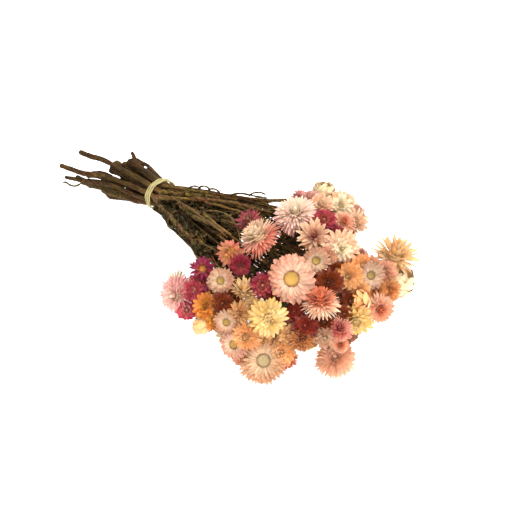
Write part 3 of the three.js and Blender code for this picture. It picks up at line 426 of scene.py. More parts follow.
# Rows of bracts from the heart outwards, over the head's radius: how many, where they leave the
# receptacle (radius, height), length, lean from the axis at the base and at the tip in degrees,
# half width, bluntness of the tip 0-1, tone from the innermost bracts (0) to the outermost (2)
Row = namedtuple("Row", "number foot_r foot_z length lean_base lean_tip width blunt tone")
STYLES = {
    "daisy": [
        (24, 0.285, 0.15, 0.13, 24, -20, 0.045, 0.7, 0.0),
        (19, 0.29, 0.20, 0.44, 62, 80, 0.086, 1.0, 0.5),
        (20, 0.295, 0.19, 0.57, 68, 84, 0.104, 1.0, 0.8),
        (21, 0.30, 0.15, 0.66, 75, 91, 0.110, 1.0, 1.0),
        (22, 0.31, 0.10, 0.70, 81, 100, 0.108, 0.9, 1.1),
        (22, 0.30, 0.03, 0.70, 90, 114, 0.106, 0.7, 1.5),
        (20, 0.27, -0.08, 0.56, 102, 134, 0.098, 0.5, 1.9),
        (14, 0.19, -0.24, 0.28, 122, 158, 0.080, 0.3, 2.0)],
    "aster": [
        (22, 0.245, 0.15, 0.12, 24, -20, 0.038, 0.6, 0.0),
        (24, 0.25, 0.20, 0.43, 60, 76, 0.058, 0.8, 0.4),
        (27, 0.25, 0.20, 0.58, 66, 82, 0.068, 0.8, 0.8),
        (30, 0.26, 0.16, 0.67, 74, 90, 0.070, 0.8, 1.0),
        (31, 0.27, 0.11, 0.73, 81, 99, 0.070, 0.75, 1.1),
        (29, 0.27, 0.04, 0.74, 90, 114, 0.072, 0.65, 1.5),
        (24, 0.25, -0.08, 0.58, 102, 134, 0.078, 0.5, 1.9),
        (14, 0.19, -0.24, 0.28, 122, 158, 0.080, 0.3, 2.0)],
    "full": [
        (7, 0.06, 0.30, 0.24, 15, -25, 0.070, 0.4, 0.0),
        (10, 0.12, 0.28, 0.34, 30, 5, 0.090, 0.45, 0.15),
        (14, 0.18, 0.25, 0.46, 46, 36, 0.100, 0.5, 0.4),
        (17, 0.23, 0.20, 0.58, 60, 66, 0.110, 0.55, 0.8),
        (18, 0.26, 0.13, 0.67, 72, 88, 0.112, 0.55, 1.0),
        (18, 0.27, 0.05, 0.70, 84, 104, 0.110, 0.55, 1.2),
        (18, 0.26, -0.04, 0.66, 98, 124, 0.105, 0.5, 1.6),
        (16, 0.22, -0.15, 0.50, 110, 138, 0.095, 0.4, 2.0),
        (12, 0.16, -0.28, 0.24, 125, 160, 0.080, 0.3, 2.0)],
    "pom": [
        (12, 0.04, 0.34, 0.34, 5, -25, 0.046, 0.35, 0.0),
        (18, 0.09, 0.32, 0.42, 20, 8, 0.050, 0.4, 0.2),
        (24, 0.14, 0.29, 0.50, 35, 30, 0.054, 0.4, 0.5),
        (29, 0.18, 0.24, 0.58, 49, 52, 0.056, 0.4, 0.8),
        (33, 0.22, 0.17, 0.66, 63, 74, 0.058, 0.4, 1.0),
        (36, 0.24, 0.09, 0.71, 78, 95, 0.058, 0.4, 1.2),
        (35, 0.25, 0.00, 0.71, 90, 115, 0.058, 0.4, 1.6),
        (28, 0.22, -0.12, 0.60, 104, 135, 0.062, 0.35, 2.0),
        (14, 0.16, -0.28, 0.24, 125, 160, 0.070, 0.3, 2.0)],
    "button": [
        (12, 0.04, 0.27, 0.22, 5, -30, 0.050, 0.6, 0.0),
        (18, 0.09, 0.26, 0.34, 30, 20, 0.050, 0.6, 0.2),
        (24, 0.14, 0.24, 0.46, 46, 46, 0.054, 0.7, 0.5),
        (30, 0.19, 0.20, 0.57, 60, 66, 0.056, 0.75, 0.8),
        (34, 0.23, 0.14, 0.67, 72, 84, 0.058, 0.75, 1.0),
        (36, 0.25, 0.06, 0.71, 86, 104, 0.058, 0.7, 1.3),
        (32, 0.24, -0.04, 0.65, 100, 126, 0.060, 0.6, 1.9),
        (24, 0.20, -0.16, 0.46, 112, 142, 0.060, 0.4, 2.0),
        (12, 0.15, -0.29, 0.20, 125, 160, 0.060, 0.3, 2.0)],
    "dome": [
        (14, 0.04, 0.40, 0.40, 4, -18, 0.050, 0.4, 0.2),
        (20, 0.09, 0.38, 0.46, 16, 4, 0.054, 0.4, 0.4),
        (26, 0.14, 0.34, 0.52, 30, 24, 0.058, 0.4, 0.6),
        (31, 0.18, 0.28, 0.59, 44, 44, 0.060, 0.4, 0.8),
        (34, 0.22, 0.20, 0.67, 58, 66, 0.060, 0.4, 1.0),
        (36, 0.24, 0.11, 0.74, 74, 90, 0.060, 0.4, 1.7),
        (35, 0.25, 0.02, 0.78, 86, 106, 0.060, 0.4, 2.0),
        (28, 0.22, -0.12, 0.68, 100, 126, 0.064, 0.35, 2.0),
        (14, 0.16, -0.28, 0.28, 125, 155, 0.070, 0.3, 2.0)],
    "peony": [
        (8, 0.05, 0.27, 0.32, 8, -18, 0.085, 0.6, 0.1),
        (12, 0.10, 0.26, 0.42, 24, 12, 0.094, 0.65, 0.3),
        (15, 0.16, 0.23, 0.52, 40, 38, 0.100, 0.7, 0.6),
        (18, 0.20, 0.18, 0.62, 55, 62, 0.104, 0.7, 0.9),
        (20, 0.24, 0.11, 0.71, 70, 84, 0.104, 0.65, 1.05),
        (21, 0.25, 0.02, 0.74, 84, 104, 0.100, 0.6, 1.4),
        (18, 0.24, -0.09, 0.64, 98, 126, 0.095, 0.45, 1.9),
        (13, 0.17, -0.26, 0.28, 125, 158, 0.080, 0.3, 2.0)],
    "bud": [
        (6, 0.06, 0.16, 0.74, 20, -34, 0.200, 1.0, 0.3),
        (7, 0.13, 0.10, 0.98, 44, -38, 0.290, 1.0, 0.6),
        (8, 0.18, 0.02, 1.14, 62, -36, 0.320, 1.0, 0.9),
        (9, 0.22, -0.06, 1.10, 78, -24, 0.310, 1.0, 1.0),
        (11, 0.22, -0.16, 0.80, 90, 6, 0.250, 1.0, 1.3),
        (12, 0.17, -0.28, 0.34, 96, 30, 0.180, 0.9, 1.9)],
    "crown": [
        (8, 0.06, 0.12, 0.62, 10, -5, 0.075, 0.3, 0.2),
        (12, 0.12, 0.10, 0.76, 25, 22, 0.085, 0.3, 0.5),
        (15, 0.17, 0.06, 0.88, 42, 44, 0.090, 0.3, 0.8),
        (17, 0.21, 0.00, 0.94, 58, 64, 0.090, 0.3, 1.0),
        (18, 0.23, -0.07, 0.86, 74, 86, 0.088, 0.3, 1.4),
        (16, 0.22, -0.15, 0.60, 92, 112, 0.085, 0.3, 1.8),
        (12, 0.16, -0.27, 0.28, 120, 150, 0.080, 0.3, 2.0)],
    "cup": [
        (7, 0.05, 0.22, 0.46, 10, -12, 0.080, 0.35, 0.1),
        (10, 0.11, 0.20, 0.56, 22, 8, 0.095, 0.35, 0.4),
        (13, 0.17, 0.15, 0.68, 38, 30, 0.105, 0.35, 0.8),
        (15, 0.22, 0.07, 0.78, 55, 56, 0.108, 0.35, 1.0),
        (16, 0.24, -0.03, 0.80, 74, 88, 0.105, 0.35, 1.4),
        (15, 0.22, -0.14, 0.62, 94, 122, 0.100, 0.3, 1.9),
        (11, 0.16, -0.27, 0.28, 122, 155, 0.080, 0.3, 2.0)],
    "star": [
        (14, 0.24, 0.18, 0.12, 26, -14, 0.045, 0.4, 0.0),
        (10, 0.245, 0.20, 0.42, 42, 36, 0.070, 0.25, 0.5),
        (13, 0.24, 0.18, 0.64, 56, 64, 0.085, 0.25, 0.9),
        (14, 0.25, 0.10, 0.76, 70, 86, 0.090, 0.25, 1.0),
        (15, 0.25, 0.01, 0.78, 86, 106, 0.088, 0.25, 1.5),
        (14, 0.22, -0.13, 0.60, 104, 132, 0.080, 0.25, 1.9),
        (10, 0.16, -0.26, 0.28, 125, 160, 0.070, 0.2, 2.0)],
}
STYLES = {style: [Row(*row) for row in rows] for style, rows in STYLES.items()}
OPEN_DISC = {"daisy": 0.275, "aster": 0.235, "star": 0.24}  # styles that show their disc: its radius
BLADE_THICK = 0.24  # a bract's thickness in the middle
BUD_LOOSE = 0.3  # how irregular the bracts of a bud are, over those of other heads
FULL_RADIUS = 22  # a head this large has all the bracts of its style
LOWEST_COUNT = 0.72  # a small head has at least this share of them,
PLAIN_COUNT = 0.8  # and a half-hidden or far one this share again,
FEWEST = 6  # with no fewer than this in a row
FINE_RADIUS = 15  # larger heads have bracts of more faces in the rows that show,
FINE_ROWS = -0.1, 0.24  # which leave the receptacle between these heights
BEND_STEPS = 24  # a bract's midline is worked out in this many steps
STYLE_OPEN = 0.9  # a head this open leans its bracts as its style says,
SHUT_LEAN = 16  # a wholly closed one some degrees more inwards
SWAY_LEAN, SWAY_REACH = (5, 4), (0.05, 0.04)  # two waves round a head: degrees, and share of the length
LENGTHS, WIDTHS = (0.88, 1.04), (0.85, 1.1)  # of a bract, over its row's
OWN_TURN, OWN_TWIST = 0.22, 0.22  # its own turn, in steps to the next, and twist, in radians,
OWN_BASE, OWN_TIP = 3, 9  # and its own lean at the base and at the tip, in degrees
OWN_TONE, OWN_EDGE, OWN_SHADE = 0.32, 0.2, 0.2  # its own share of other tones, of edge and of shade
WALL_GIVE = 0.85  # how much of its reach past a wall a bract is bent back
FLOOR_GIVE = 0.04  # how much of its reach under the floor it keeps
STALK_R = 1.5  # of the stalk that a head sits on
FLORETS, FAR_FLORETS, FLORET_SIDES = 90, 30, 5
GOLDEN_TURN = 2.39996  # between one floret and the next


def midline(head, row, turn, u, loose, rng):
    """Each bract's distance from the axis, height and lean at the places u along it."""
    radius, sway, shape = head["radius"], head["sway"], turn.shape
    reach = row.length * radius * rng.uniform(*LENGTHS, shape)
    # Whole sides of a head open further, or grow longer, than others
    lean_off = SWAY_LEAN[0] * np.sin(turn * 2 + sway[0]) + SWAY_LEAN[1] * np.sin(turn * 3 + sway[1])
    reach = reach * (1 + SWAY_REACH[0] * np.sin(turn * 2 + sway[2])
                     + SWAY_REACH[1] * np.sin(turn * 5 + sway[3]))
    shut = (STYLE_OPEN - head["open"]) * SHUT_LEAN + lean_off
    base = np.radians(row.lean_base - shut * 0.5 + rng.normal(0, OWN_BASE, shape))
    tip = np.radians(row.lean_tip - shut + rng.normal(0, OWN_TIP * loose, shape))
    steps = np.linspace(0, 1, BEND_STEPS + 1)
    lean = base + (tip - base) * steps[None] ** 1.3
    at = np.rint(u * BEND_STEPS).astype(int)
    run, rise = (np.concatenate([np.zeros(shape), np.cumsum(way, 1) / BEND_STEPS], 1)[:, at]
                 for way in (np.sin(lean[:, 1:]), np.cos(lean[:, 1:])))
    return row.foot_r * radius + reach * run, row.foot_z * radius + reach * rise, lean[:, at]


def half_width(u, widest, blunt):
    """A bract's outline: narrow foot, widest at two thirds, then a blunt or pointed tip."""
    foot = 0.5 + 0.5 * smooth(u, 0, 0.5)
    point = np.clip((1 - u) / 0.42, 0, 1) ** 0.85
    blunted = np.sqrt(np.clip(1 - np.clip((u - 0.72) / 0.28, 0, 1) ** 2.2, 0, 1))
    return widest * foot * mix(np.minimum(point, 1), blunted, blunt)


def bract_tints(head, row, u, v, turn, loose, rng):
    """The colours along each bract: its foot nearer the heart's, its end and rims the tips'."""
    tone, shape = row.tone, turn.shape
    heart, face, tip, under, disc_tone = LOOKS[head["look"]]
    body = mix(heart, face, smooth(tone, 0, 1)) if tone < 1 else mix(face, under, tone - 1)
    if tone == 0 and head["style"] in OPEN_DISC:
        body = heart = mix(disc_tone, heart, 0.25)
    edge = smooth(u, 0.45, 1) * 0.6 + 0.22 * v * v * smooth(u, 0.3, 0.8)
    edge = edge * (1 + 0.5 * np.sin(turn + head["sway"][4]))
    edge = np.clip(edge + rng.uniform(-OWN_EDGE, OWN_EDGE, shape), 0, 1) * (0.2 if tone > 1.5 else 1)
    pale = np.clip(1 - u / 0.35, 0, 1) * 0.5
    own = rng.uniform(-OWN_TONE, OWN_TONE, shape)  # nearer the heart's colour, or nearer the tips'
    body = mix(body, np.where(own[..., None] < 0, heart, tip), np.abs(own)[..., None])
    tints = mix(mix(body, heart, pale[None, :, None]), tip, edge[..., None])
    return np.clip(tints * (1 - OWN_SHADE * loose * rng.uniform(0, 1, shape)[..., None] ** 2), 0, 1)


def bracts(build, head, row, rng):
    """One row of bracts round a head."""
    radius, axis, closed = head["radius"], head["axis"], head["style"] == "bud"
    loose = BUD_LOOSE if closed else 1
    size = np.clip(radius / FULL_RADIUS, LOWEST_COUNT, 1)
    count = max(FEWEST, round(row.number * (size if head["fine"] else size * PLAIN_COUNT)))
    large = head["fine"] and radius > FINE_RADIUS and FINE_ROWS[0] < row.foot_z < FINE_ROWS[1]
    u, v, side, faces = FINE_BLADE if large else PLAIN_BLADE
    shape = (count, 1)
    turn = (np.arange(count)[:, None] + rng.uniform(-OWN_TURN, OWN_TURN, shape)) / count * math.tau
    turn = turn + rng.uniform(0, math.tau)
    r, z, lean = midline(head, row, turn, u, loose, rng)
    widest = row.width * row.number / count * radius
    half = half_width(u, widest, row.blunt)[None] * rng.uniform(*WIDTHS, shape)
    side_x, side_y = frame_of(axis)
    radial = np.cos(turn)[..., None] * side_x + np.sin(turn)[..., None] * side_y
    across = -np.sin(turn)[..., None] * side_x + np.cos(turn)[..., None] * side_y
    normal = -np.cos(lean)[..., None] * radial + np.sin(lean)[..., None] * axis
    twist = rng.normal(0, OWN_TWIST * loose, shape) * u
    ways = np.cos(twist)[..., None] * across + np.sin(twist)[..., None] * normal
    channel = rng.uniform(0.1, 0.35, shape) * half * (v * v)
    ripple = 0.05 * half * np.sin(v * 5 + u * 7 + rng.uniform(0, 6, shape))
    lift = channel + ripple + side * BLADE_THICK * 0.5 * (1 - 0.6 * u)
    points = (r[..., None] * radial + z[..., None] * axis + (v * half)[..., None] * ways
              + lift[..., None] * normal)
    tints = bract_tints(head, row, u, v, turn, loose, rng)
    blades = np.stack(np.broadcast_arrays(u[None], v[None], rng.uniform(0, 40, shape)), 2)
    build.add(give_way(points, head) + head["centre"], faces, tints, blades, 2 if closed else 0)


def give_way(points, head):
    """Bends what reaches past a neighbour's wall, or under the floor, back along it."""
    for way, at in head["walls"]:
        over = np.maximum(points @ way - at, 0)
        points = points - (WALL_GIVE * over)[..., None] * way
    low = FLOOR_CLEAR - head["centre"][2]
    under = np.minimum(points[..., 2] - low, 0)
    points[..., 2] = np.maximum(points[..., 2], low + FLOOR_GIVE * under)
    points[..., 2] = np.maximum(points[..., 2], -head["centre"][2])
    return points


def lathe(build, head, profile, sides, tint, slot):
    """A closed turned body on a head's axis; profile of (radius, height) starts and ends on it."""
    side_x, side_y = frame_of(head["axis"])
    turns = np.arange(sides) / sides * math.tau
    ring = np.cos(turns)[:, None] * side_x + np.sin(turns)[:, None] * side_y
    inner = profile[1:-1]
    points = [profile[0][1] * head["axis"]]
    for r, z in inner:
        points += list(r * ring + z * head["axis"])
    points.append(profile[-1][1] * head["axis"])
    last = 1 + (len(inner) - 1) * sides
    faces = []
    for j in range(sides):
        k = (j + 1) % sides
        faces.append((0, 1 + k, 1 + j))
        for a in range(1, last, sides):
            b = a + sides
            faces += [(a + j, a + k, b + k), (a + j, b + k, b + j)]
        faces.append((last + j, last + k, len(points) - 1))
    build.add(give_way(np.array(points)[None], head) + head["centre"], faces, tint, slot=slot)


def receptacle(build, head):
    """The body inside a head that each row of bracts grows out of, down to its stalk."""
    r, heart = head["radius"], LOOKS[head["look"]][0]
    rows = STYLES[head["style"]]
    shut = head["style"] not in OPEN_DISC
    top, foot = rows[0].foot_z * r, -CUP_BACK * r - 0.1
    profile = [(0, foot), (STALK_R, foot), (0.14 * r + STALK_R / 2, -0.34 * r)]
    profile += [(row.foot_r * r + 0.25, row.foot_z * r) for row in rows[::-1] if row.foot_z > -0.2]
    profile.append((0, top + 0.02 * r if shut else 0.01 * r))
    lathe(build, head, profile, 12, heart * [0.8, 0.66, 0.5], 1)
    if shut:  # the closed bud of the youngest bracts
        lathe(build, head, [(0, top - 0.06 * r), (0.1 * r, top), (0.11 * r, top + 0.14 * r),
                            (0.05 * r, top + 0.25 * r), (0, top + 0.27 * r)], 10, heart * 0.94, 0)


def disc(build, head, rng):
    """The crowded florets of an open head, darker towards its rim, partly as painted shade."""
    r, tone = head["radius"], LOOKS[head["look"]][4]
    rim = OPEN_DISC[head["style"]] * r
    lathe(build, head, [(0, 0), (rim * 1.05, 0.15 * r), (rim, 0.2 * r), (0.6 * rim, 0.11 * r),
                        (0, 0.07 * r)], 12, tone * 0.7, 1)
    count = FLORETS if head["fine"] else FAR_FLORETS
    k = np.arange(count)[:, None]
    turn = k * GOLDEN_TURN
    far = np.sqrt((k + 0.5) / count) * rim
    wide = rim * 0.95 / math.sqrt(count)
    top = 0.08 * r + 0.13 * r * (far / rim) ** 2
    tall = wide * rng.uniform(0.5, 0.9, (count, 1))
    around = np.arange(FLORET_SIDES)[None] / FLORET_SIDES * math.tau

    def spread(way):
        """The corners, tips and feet of the florets, along one direction square to the axis."""
        ring = np.concatenate([way(around), way(around) * 0.75], 1) * wide
        middle = far * way(turn)
        return np.concatenate([middle + ring, middle * 1.02, middle], 1)

    x, y = spread(np.cos), spread(np.sin)
    base, high = top - 0.08 * r, top + tall
    z = np.concatenate([np.repeat(base, FLORET_SIDES, 1), np.repeat(top, FLORET_SIDES, 1), high, base], 1)
    side_x, side_y = frame_of(head["axis"])
    points = x[..., None] * side_x + y[..., None] * side_y + z[..., None] * head["axis"]
    faces, n = [], FLORET_SIDES
    for j in range(n):
        i = (j + 1) % n
        faces += [(j, i, n + i), (j, n + i, n + j), (n + j, n + i, 2 * n), (i, j, 2 * n + 1)]
    # Florets lighter in the middle and darker towards the rim: partly the outer florets' own olive, partly
    # painted shade where the bracts close round the disc.
    shade = mix(tone * 1.15, tone * [0.8, 0.7, 0.6], smooth(far / rim, 0.6, 1)[..., None])
    shade = np.clip(shade * rng.uniform(0.8, 1.1, (count, 1, 1)), 0, 1)
    build.add(give_way(points, head) + head["centre"], faces, shade, slot=1)


def make_bloom(node, heads, materials):
    build = Build()
    for head in heads:
        rng = np.random.default_rng([SEED, head["index"]])
        for row in STYLES[head["style"]]:
            bracts(build, head, row, rng)
        receptacle(build, head)
        if head["style"] in OPEN_DISC:
            disc(build, head, rng)
    piece = build.make(node.replace("bloom", "strawflower"), materials)
    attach(piece, "root")
    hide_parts(node)


# ---------- Materials ----------


def new_material(name):
    material = bpy.data.materials.new(name)
    material.use_nodes = True
    tree = material.node_tree
    return material, tree, tree.nodes["Principled BSDF"]


def feed(tree, socket, value):
    """Links an output to a socket, or sets the socket to a value."""
    if hasattr(value, "links"):
        tree.links.new(value, socket)
    else:
        socket.default_value = value


def set_inputs(tree, node, **values):
    """Feeds a node's inputs, by their names with _ for a space."""
    for key, value in values.items():
        feed(tree, node.inputs[key.replace("_", " ")], value)


def add(tree, kind, **settings):
    """A new node with the given properties and inputs."""
    node = tree.nodes.new(kind)
    for key, value in settings.items():
        if hasattr(node, key):
            setattr(node, key, value)
        else:
            set_inputs(tree, node, **{key: value})
    return node


def attribute(tree, name, output):
    return add(tree, "ShaderNodeAttribute", attribute_name=name).outputs[output]


def ramp_node(tree, factor, stops):
    node = add(tree, "ShaderNodeValToRGB", Fac=factor)
    elements = node.color_ramp.elements
    while len(elements) < len(stops):
        elements.new(0.5)
    for element, (place, colour) in zip(elements, stops):
        element.position = place
        element.color = (*colour, 1)
    return node.outputs["Color"]


def blend_colour(tree, kind, factor, a, b):
    node = add(tree, "ShaderNodeMix", data_type="RGBA", blend_type=kind)
    for index, value in ((0, factor), (6, a), (7, b)):
        feed(tree, node.inputs[index], value)
    return node.outputs[2]


def add_relief(tree, shader, height, strength, distance):
    bump = add(tree, "ShaderNodeBump", Strength=strength, Distance=distance, Height=height)
    set_inputs(tree, shader, Normal=bump.outputs["Normal"])


def bract_material(name, thin):
    """Papery bracts: the tint with streaks along each blade, darker and fuller at the rims, partly the thin
    rims' own colour and partly painted shade between neighbouring bracts, and fuller in the light that comes
    through; thin is the share of that light."""
    material, tree, shader = new_material(name)
    blade = attribute(tree, "blade", "Vector")
    stretch = add(tree, "ShaderNodeMapping", Vector=blade, Scale=(0.9, 1.7, 1))
    veins = add(tree, "ShaderNodeTexNoise", Vector=stretch.outputs["Vector"], Scale=1.7, Detail=4.0,
                Roughness=0.65).outputs["Fac"]
    streak = ramp_node(tree, veins, [(0.3, (0.86, 0.7, 0.58)), (0.47, (0.97, 0.92, 0.87)), (0.6, WHITE)])
    colour = blend_colour(tree, "MULTIPLY", 0.9, attribute(tree, "tint", "Color"), streak)
    across = add(tree, "ShaderNodeSeparateXYZ", Vector=blade)
    far = add(tree, "ShaderNodeMath", operation="ABSOLUTE", Value=across.outputs["Y"])
    # Darker towards each blade's rims: partly the thin rims' own fuller colour, partly painted shade between
    # neighbouring bracts.
    rim = ramp_node(tree, far.outputs["Value"], [(0.7, WHITE), (1.0, (0.96, 0.87, 0.81))])
    colour = blend_colour(tree, "MULTIPLY", 0.9, colour, rim)
    set_inputs(tree, shader, Base_Color=colour, Roughness=0.45, Specular_IOR_Level=0.45,
               Sheen_Weight=0.12, Sheen_Roughness=0.5)
    add_relief(tree, shader, veins, 0.35, 0.0003)
    through = add(tree, "ShaderNodeBsdfTranslucent",
                  Color=blend_colour(tree, "MULTIPLY", 0.4, colour, colour))
    join = add(tree, "ShaderNodeMixShader", Fac=thin)
    tree.links.new(shader.outputs["BSDF"], join.inputs[1])
    tree.links.new(through.outputs["BSDF"], join.inputs[2])
    set_inputs(tree, tree.nodes["Material Output"], Surface=join.outputs["Shader"])
    return material


def mottled_material(name, noise_inputs, dark, share, rough, specular, relief):
    """The tint, mottled by a noise down to dark, which is a ramp's first stop; relief is the height of
    a noise that follows each blade or fibre, and with none it fills the object."""
    material, tree, shader = new_material(name)
    mottle = add(tree, "ShaderNodeTexNoise", **noise_inputs).outputs["Fac"]
    shade = ramp_node(tree, mottle, [dark, (0.6, WHITE)])
    colour = blend_colour(tree, "MULTIPLY", share, attribute(tree, "tint", "Color"), shade)
    set_inputs(tree, shader, Base_Color=colour, Roughness=rough, Specular_IOR_Level=specular)
    if relief:
        set_inputs(tree, mottle.node, Vector=attribute(tree, "blade", "Vector"))
        add_relief(tree, shader, mottle, 0.5, relief)
    return material


def floret_material():
    return mottled_material("florets", {"Scale": 1400.0, "Detail": 2.0}, (0.35, (0.72, 0.66, 0.55)),
                            share=0.8, rough=0.8, specular=0.5, relief=0)


def leaf_material():
    return mottled_material("dry_leaf", {"Scale": 3.0, "Detail": 4.0}, (0.3, (0.5, 0.48, 0.42)),
                            share=0.9, rough=0.7, specular=0.15, relief=0.0005)


def raffia_material():
    return mottled_material("raffia_fibre", {"Scale": 9.0, "Detail": 3.0}, (0.3, (0.62, 0.58, 0.44)),
                            share=0.9, rough=0.6, specular=0.5, relief=0.0003)


AXIS = unit(CENTRE - TIE_AT)


def bark_material():
    """Dry fibrous bark: streaks that run with the stems, from black-brown to grey straw."""
    material, tree, shader = new_material("dry_bark")
    place = add(tree, "ShaderNodeTexCoord").outputs["Object"]
    turn = add(tree, "ShaderNodeVectorRotate", rotation_type="EULER_XYZ", Vector=place,
               Rotation=(0, math.asin(AXIS[2]), -math.atan2(AXIS[1], AXIS[0])))
    stretch = add(tree, "ShaderNodeMapping", Vector=turn.outputs["Vector"], Scale=(60, 900, 900))
    fibre = add(tree, "ShaderNodeTexNoise", Vector=stretch.outputs["Vector"], Scale=1.0, Detail=4.0,
                Roughness=0.65).outputs["Fac"]
    patch = add(tree, "ShaderNodeTexNoise", Vector=place, Scale=55.0, Detail=3.0).outputs["Fac"]
    dark = ramp_node(tree, fibre, [(0.3, rgb(0x221506)), (0.48, rgb(0x442E17)), (0.68, rgb(0x745630))])
    olive = ramp_node(tree, fibre, [(0.3, rgb(0x241E0A)), (0.5, rgb(0x483C1A)), (0.7, rgb(0x806A36))])
    where = ramp_node(tree, patch, [(0.42, (0, 0, 0)), (0.62, WHITE)])
    colour = blend_colour(tree, "MULTIPLY", 1.0, blend_colour(tree, "MIX", where, dark, olive),
                          attribute(tree, "tint", "Color"))
    set_inputs(tree, shader, Base_Color=colour, Roughness=0.82, Specular_IOR_Level=0.15)
    add_relief(tree, shader, fibre, 0.6, 0.0006)
    return material

# ---------- Stems ----------
BARK_VOXEL = 0.62
BARK_FACES = 16000  # of one stem and its stalks
BARK_CLEAR = 0.2  # the lowest that the bark reaches
RIDGE, LUMP = 0.42, 0.3  # how high the bark's ridges and lumps stand
RIDGE_SCALE, RIDGE_SPAN, LUMP_SCALE = 420, 0.93, 60  # ridges are drawn out along the bunch by the span
END_SHADE, SHADE_ENDS = (0.46, 0.42, 0.35), (-20, 5)  # the ends' darker tint, and where past the tie it ends
END_SWELL, SWELL_STARTS = 0.6, (45, 80)  # how much thicker the twigs' ends are, from so far behind the tie
# Knots, root crowns and broken stubs that grow out of the stems' ends: chains of balls at
# (right, up, out, radius) in the camera's view from the mound's centre
GNARLS = {
    "stem_04": [[(-157, 107, -198, 2.6), (-155, 107, -197, 3.6), (-152, 102, -194, 3.8),
                 (-149, 96, -190, 4.0), (-145, 91, -186, 4.0)],
                [(-148, 107, -192, 2.8), (-144, 103, -187, 3.0)]],
    "stem_05": [[(-189, 99, -208, 1.6), (-184, 95.5, -204, 2.2), (-176, 92, -200, 3.0),
                 (-169, 89, -196, 3.5), (-161, 86, -192, 4.5)],
                [(-179, 100, -201, 2.4), (-173, 99, -198, 3.0), (-166, 96, -195, 3.8),
                 (-160, 92, -192, 4.4), (-153, 88, -190, 5.0)]],
    "stem_08": [[(-166, 86, -190, 4.0), (-161, 80, -190, 4.6), (-158, 80, -190, 5.4),
                 (-154, 80, -190, 5.6), (-149, 79, -191, 5.2), (-144, 78, -190, 4.8),
                 (-138, 77, -187, 4.8), (-132, 76, -183, 4.6)]],
    "stem_07": [[(-187, 93.5, -206, 1.6), (-184, 90.5, -204, 1.9), (-180, 88, -201, 2.2),
                 (-174, 88, -198, 3.0), (-167, 86, -194, 3.6)],
                [(-187, 90, -206, 1.3), (-181, 89, -203, 1.8)]],
    "stem_02": [[(-143, 109, -184, 3.6), (-138, 105, -181, 4.2), (-132, 100, -176, 4.4),
                 (-124, 94.5, -168, 3.8)],
                [(-141.5, 117, -184, 1.9), (-139, 112, -182, 2.0), (-136, 107, -179, 2.4)],
                [(-120, 97.5, -167, 0.9), (-126, 100.5, -170, 1.6), (-131, 102, -174, 2.0)]],
}
# In the camera's view, (right, up): the fan's upper edge, how far it is lowered along that, the
# moves of two rear twigs' ends, and the line of two stalks that would cross the gap between two
# blooms, with its fall to the right
UPPER_EDGE = (-110, -85, -60, -20, 10), (88, 86, 83, 76.5, 75)
UPPER_DROP = (0, 1.5, 3, 3, 0)
EDGE_DEPTH = 14  # how far below the edge that begins
TWIG_ENDS = {"stem_04": (-2.5, -2.5), "stem_05": (-2.5, -3.5)}
TWIG_ENDS_FROM = 165, 186  # how far left they begin to move, and move in full
STALKS_AT, STALKS_FALL, STALKS_DROP = (61.2, 36.9), 0.44, 20
STALKS_LEFT, STALKS_RIGHT, STALKS_OFF = (42, 62), (86, 98), (8, 12)  # where that sets in and ends


def add_gnarls(mesh, chains):
    """Adds the chains of balls to a mesh, to be fused with it."""
    ball = bmesh.new()
    ball.from_mesh(mesh)
    for chain in chains:
        rows = np.array(chain)
        steps = np.linspace(0, len(rows) - 1, 3 * len(rows))
        for *view, radius in np.stack([np.interp(steps, range(len(rows)), rows[:, i])
                                       for i in range(4)], 1):
            place = (np.array(view) @ SHOW + CENTRE + SHIFT) * MM
            place[2] = max(place[2], (radius + 0.5) * MM)
            bmesh.ops.create_icosphere(ball, subdivisions=2, radius=radius * MM,
                                       matrix=Matrix.Translation(place))
    ball.to_mesh(mesh)
    ball.free()


def bark_tint(rng, count):
    """How much lighter, and how much redder or greyer, each stem is than the bark's own colours."""
    light = rng.uniform(0.7, 1.45, (count, 1))
    return light * mix(np.array([1.12, 0.96, 0.85]), np.array([0.98, 1.0, 1.05]),
                       rng.uniform(0, 1, (count, 1)))


def lowered(points):
    """Lowers what lies along the fan's upper edge, in the camera's view."""
    right, up = in_view(points)
    edge = np.interp(right, *UPPER_EDGE)
    drop = np.interp(right, UPPER_EDGE[0], UPPER_DROP) * smooth(up, edge - EDGE_DEPTH, edge)
    return points - drop[..., None] * SHOW[1]


def bent(points, node):
    """Moves the rear twigs' ends, and lowers the two stalks that would cross the gap."""
    right, up = in_view(points)
    if node in TWIG_ENDS:
        points = points + smooth(-right, *TWIG_ENDS_FROM)[:, None] * (TWIG_ENDS[node] @ SHOW[:2])
    off = np.abs(up - STALKS_AT[1] + STALKS_FALL * (right - STALKS_AT[0]))
    near = (smooth(right, *STALKS_LEFT) * (1 - smooth(right, *STALKS_RIGHT))
            * (1 - smooth(off, *STALKS_OFF)))
    return points - (STALKS_DROP * near)[:, None] * SHOW[1]


def apply_modifiers(ob):
    bpy.context.view_layer.update()
    graph = bpy.context.evaluated_depsgraph_get()
    made = bpy.data.meshes.new_from_object(ob.evaluated_get(graph))
    ob.modifiers.clear()
    ob.data = made


def skinned_stem(node):
    """A copy of a CAD stem, fused with its gnarls and made round."""
    copy = add_object(node + "_bark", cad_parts[node].data.copy())
    if node in GNARLS:
        add_gnarls(copy.data, GNARLS[node])
    remesh = copy.modifiers.new("skin", "REMESH")
    remesh.mode = "VOXEL"
    remesh.voxel_size = BARK_VOXEL * MM
    soften = copy.modifiers.new("soften", "SMOOTH")
    soften.factor = 0.5
    soften.iterations = 5
    apply_modifiers(copy)
    return copy


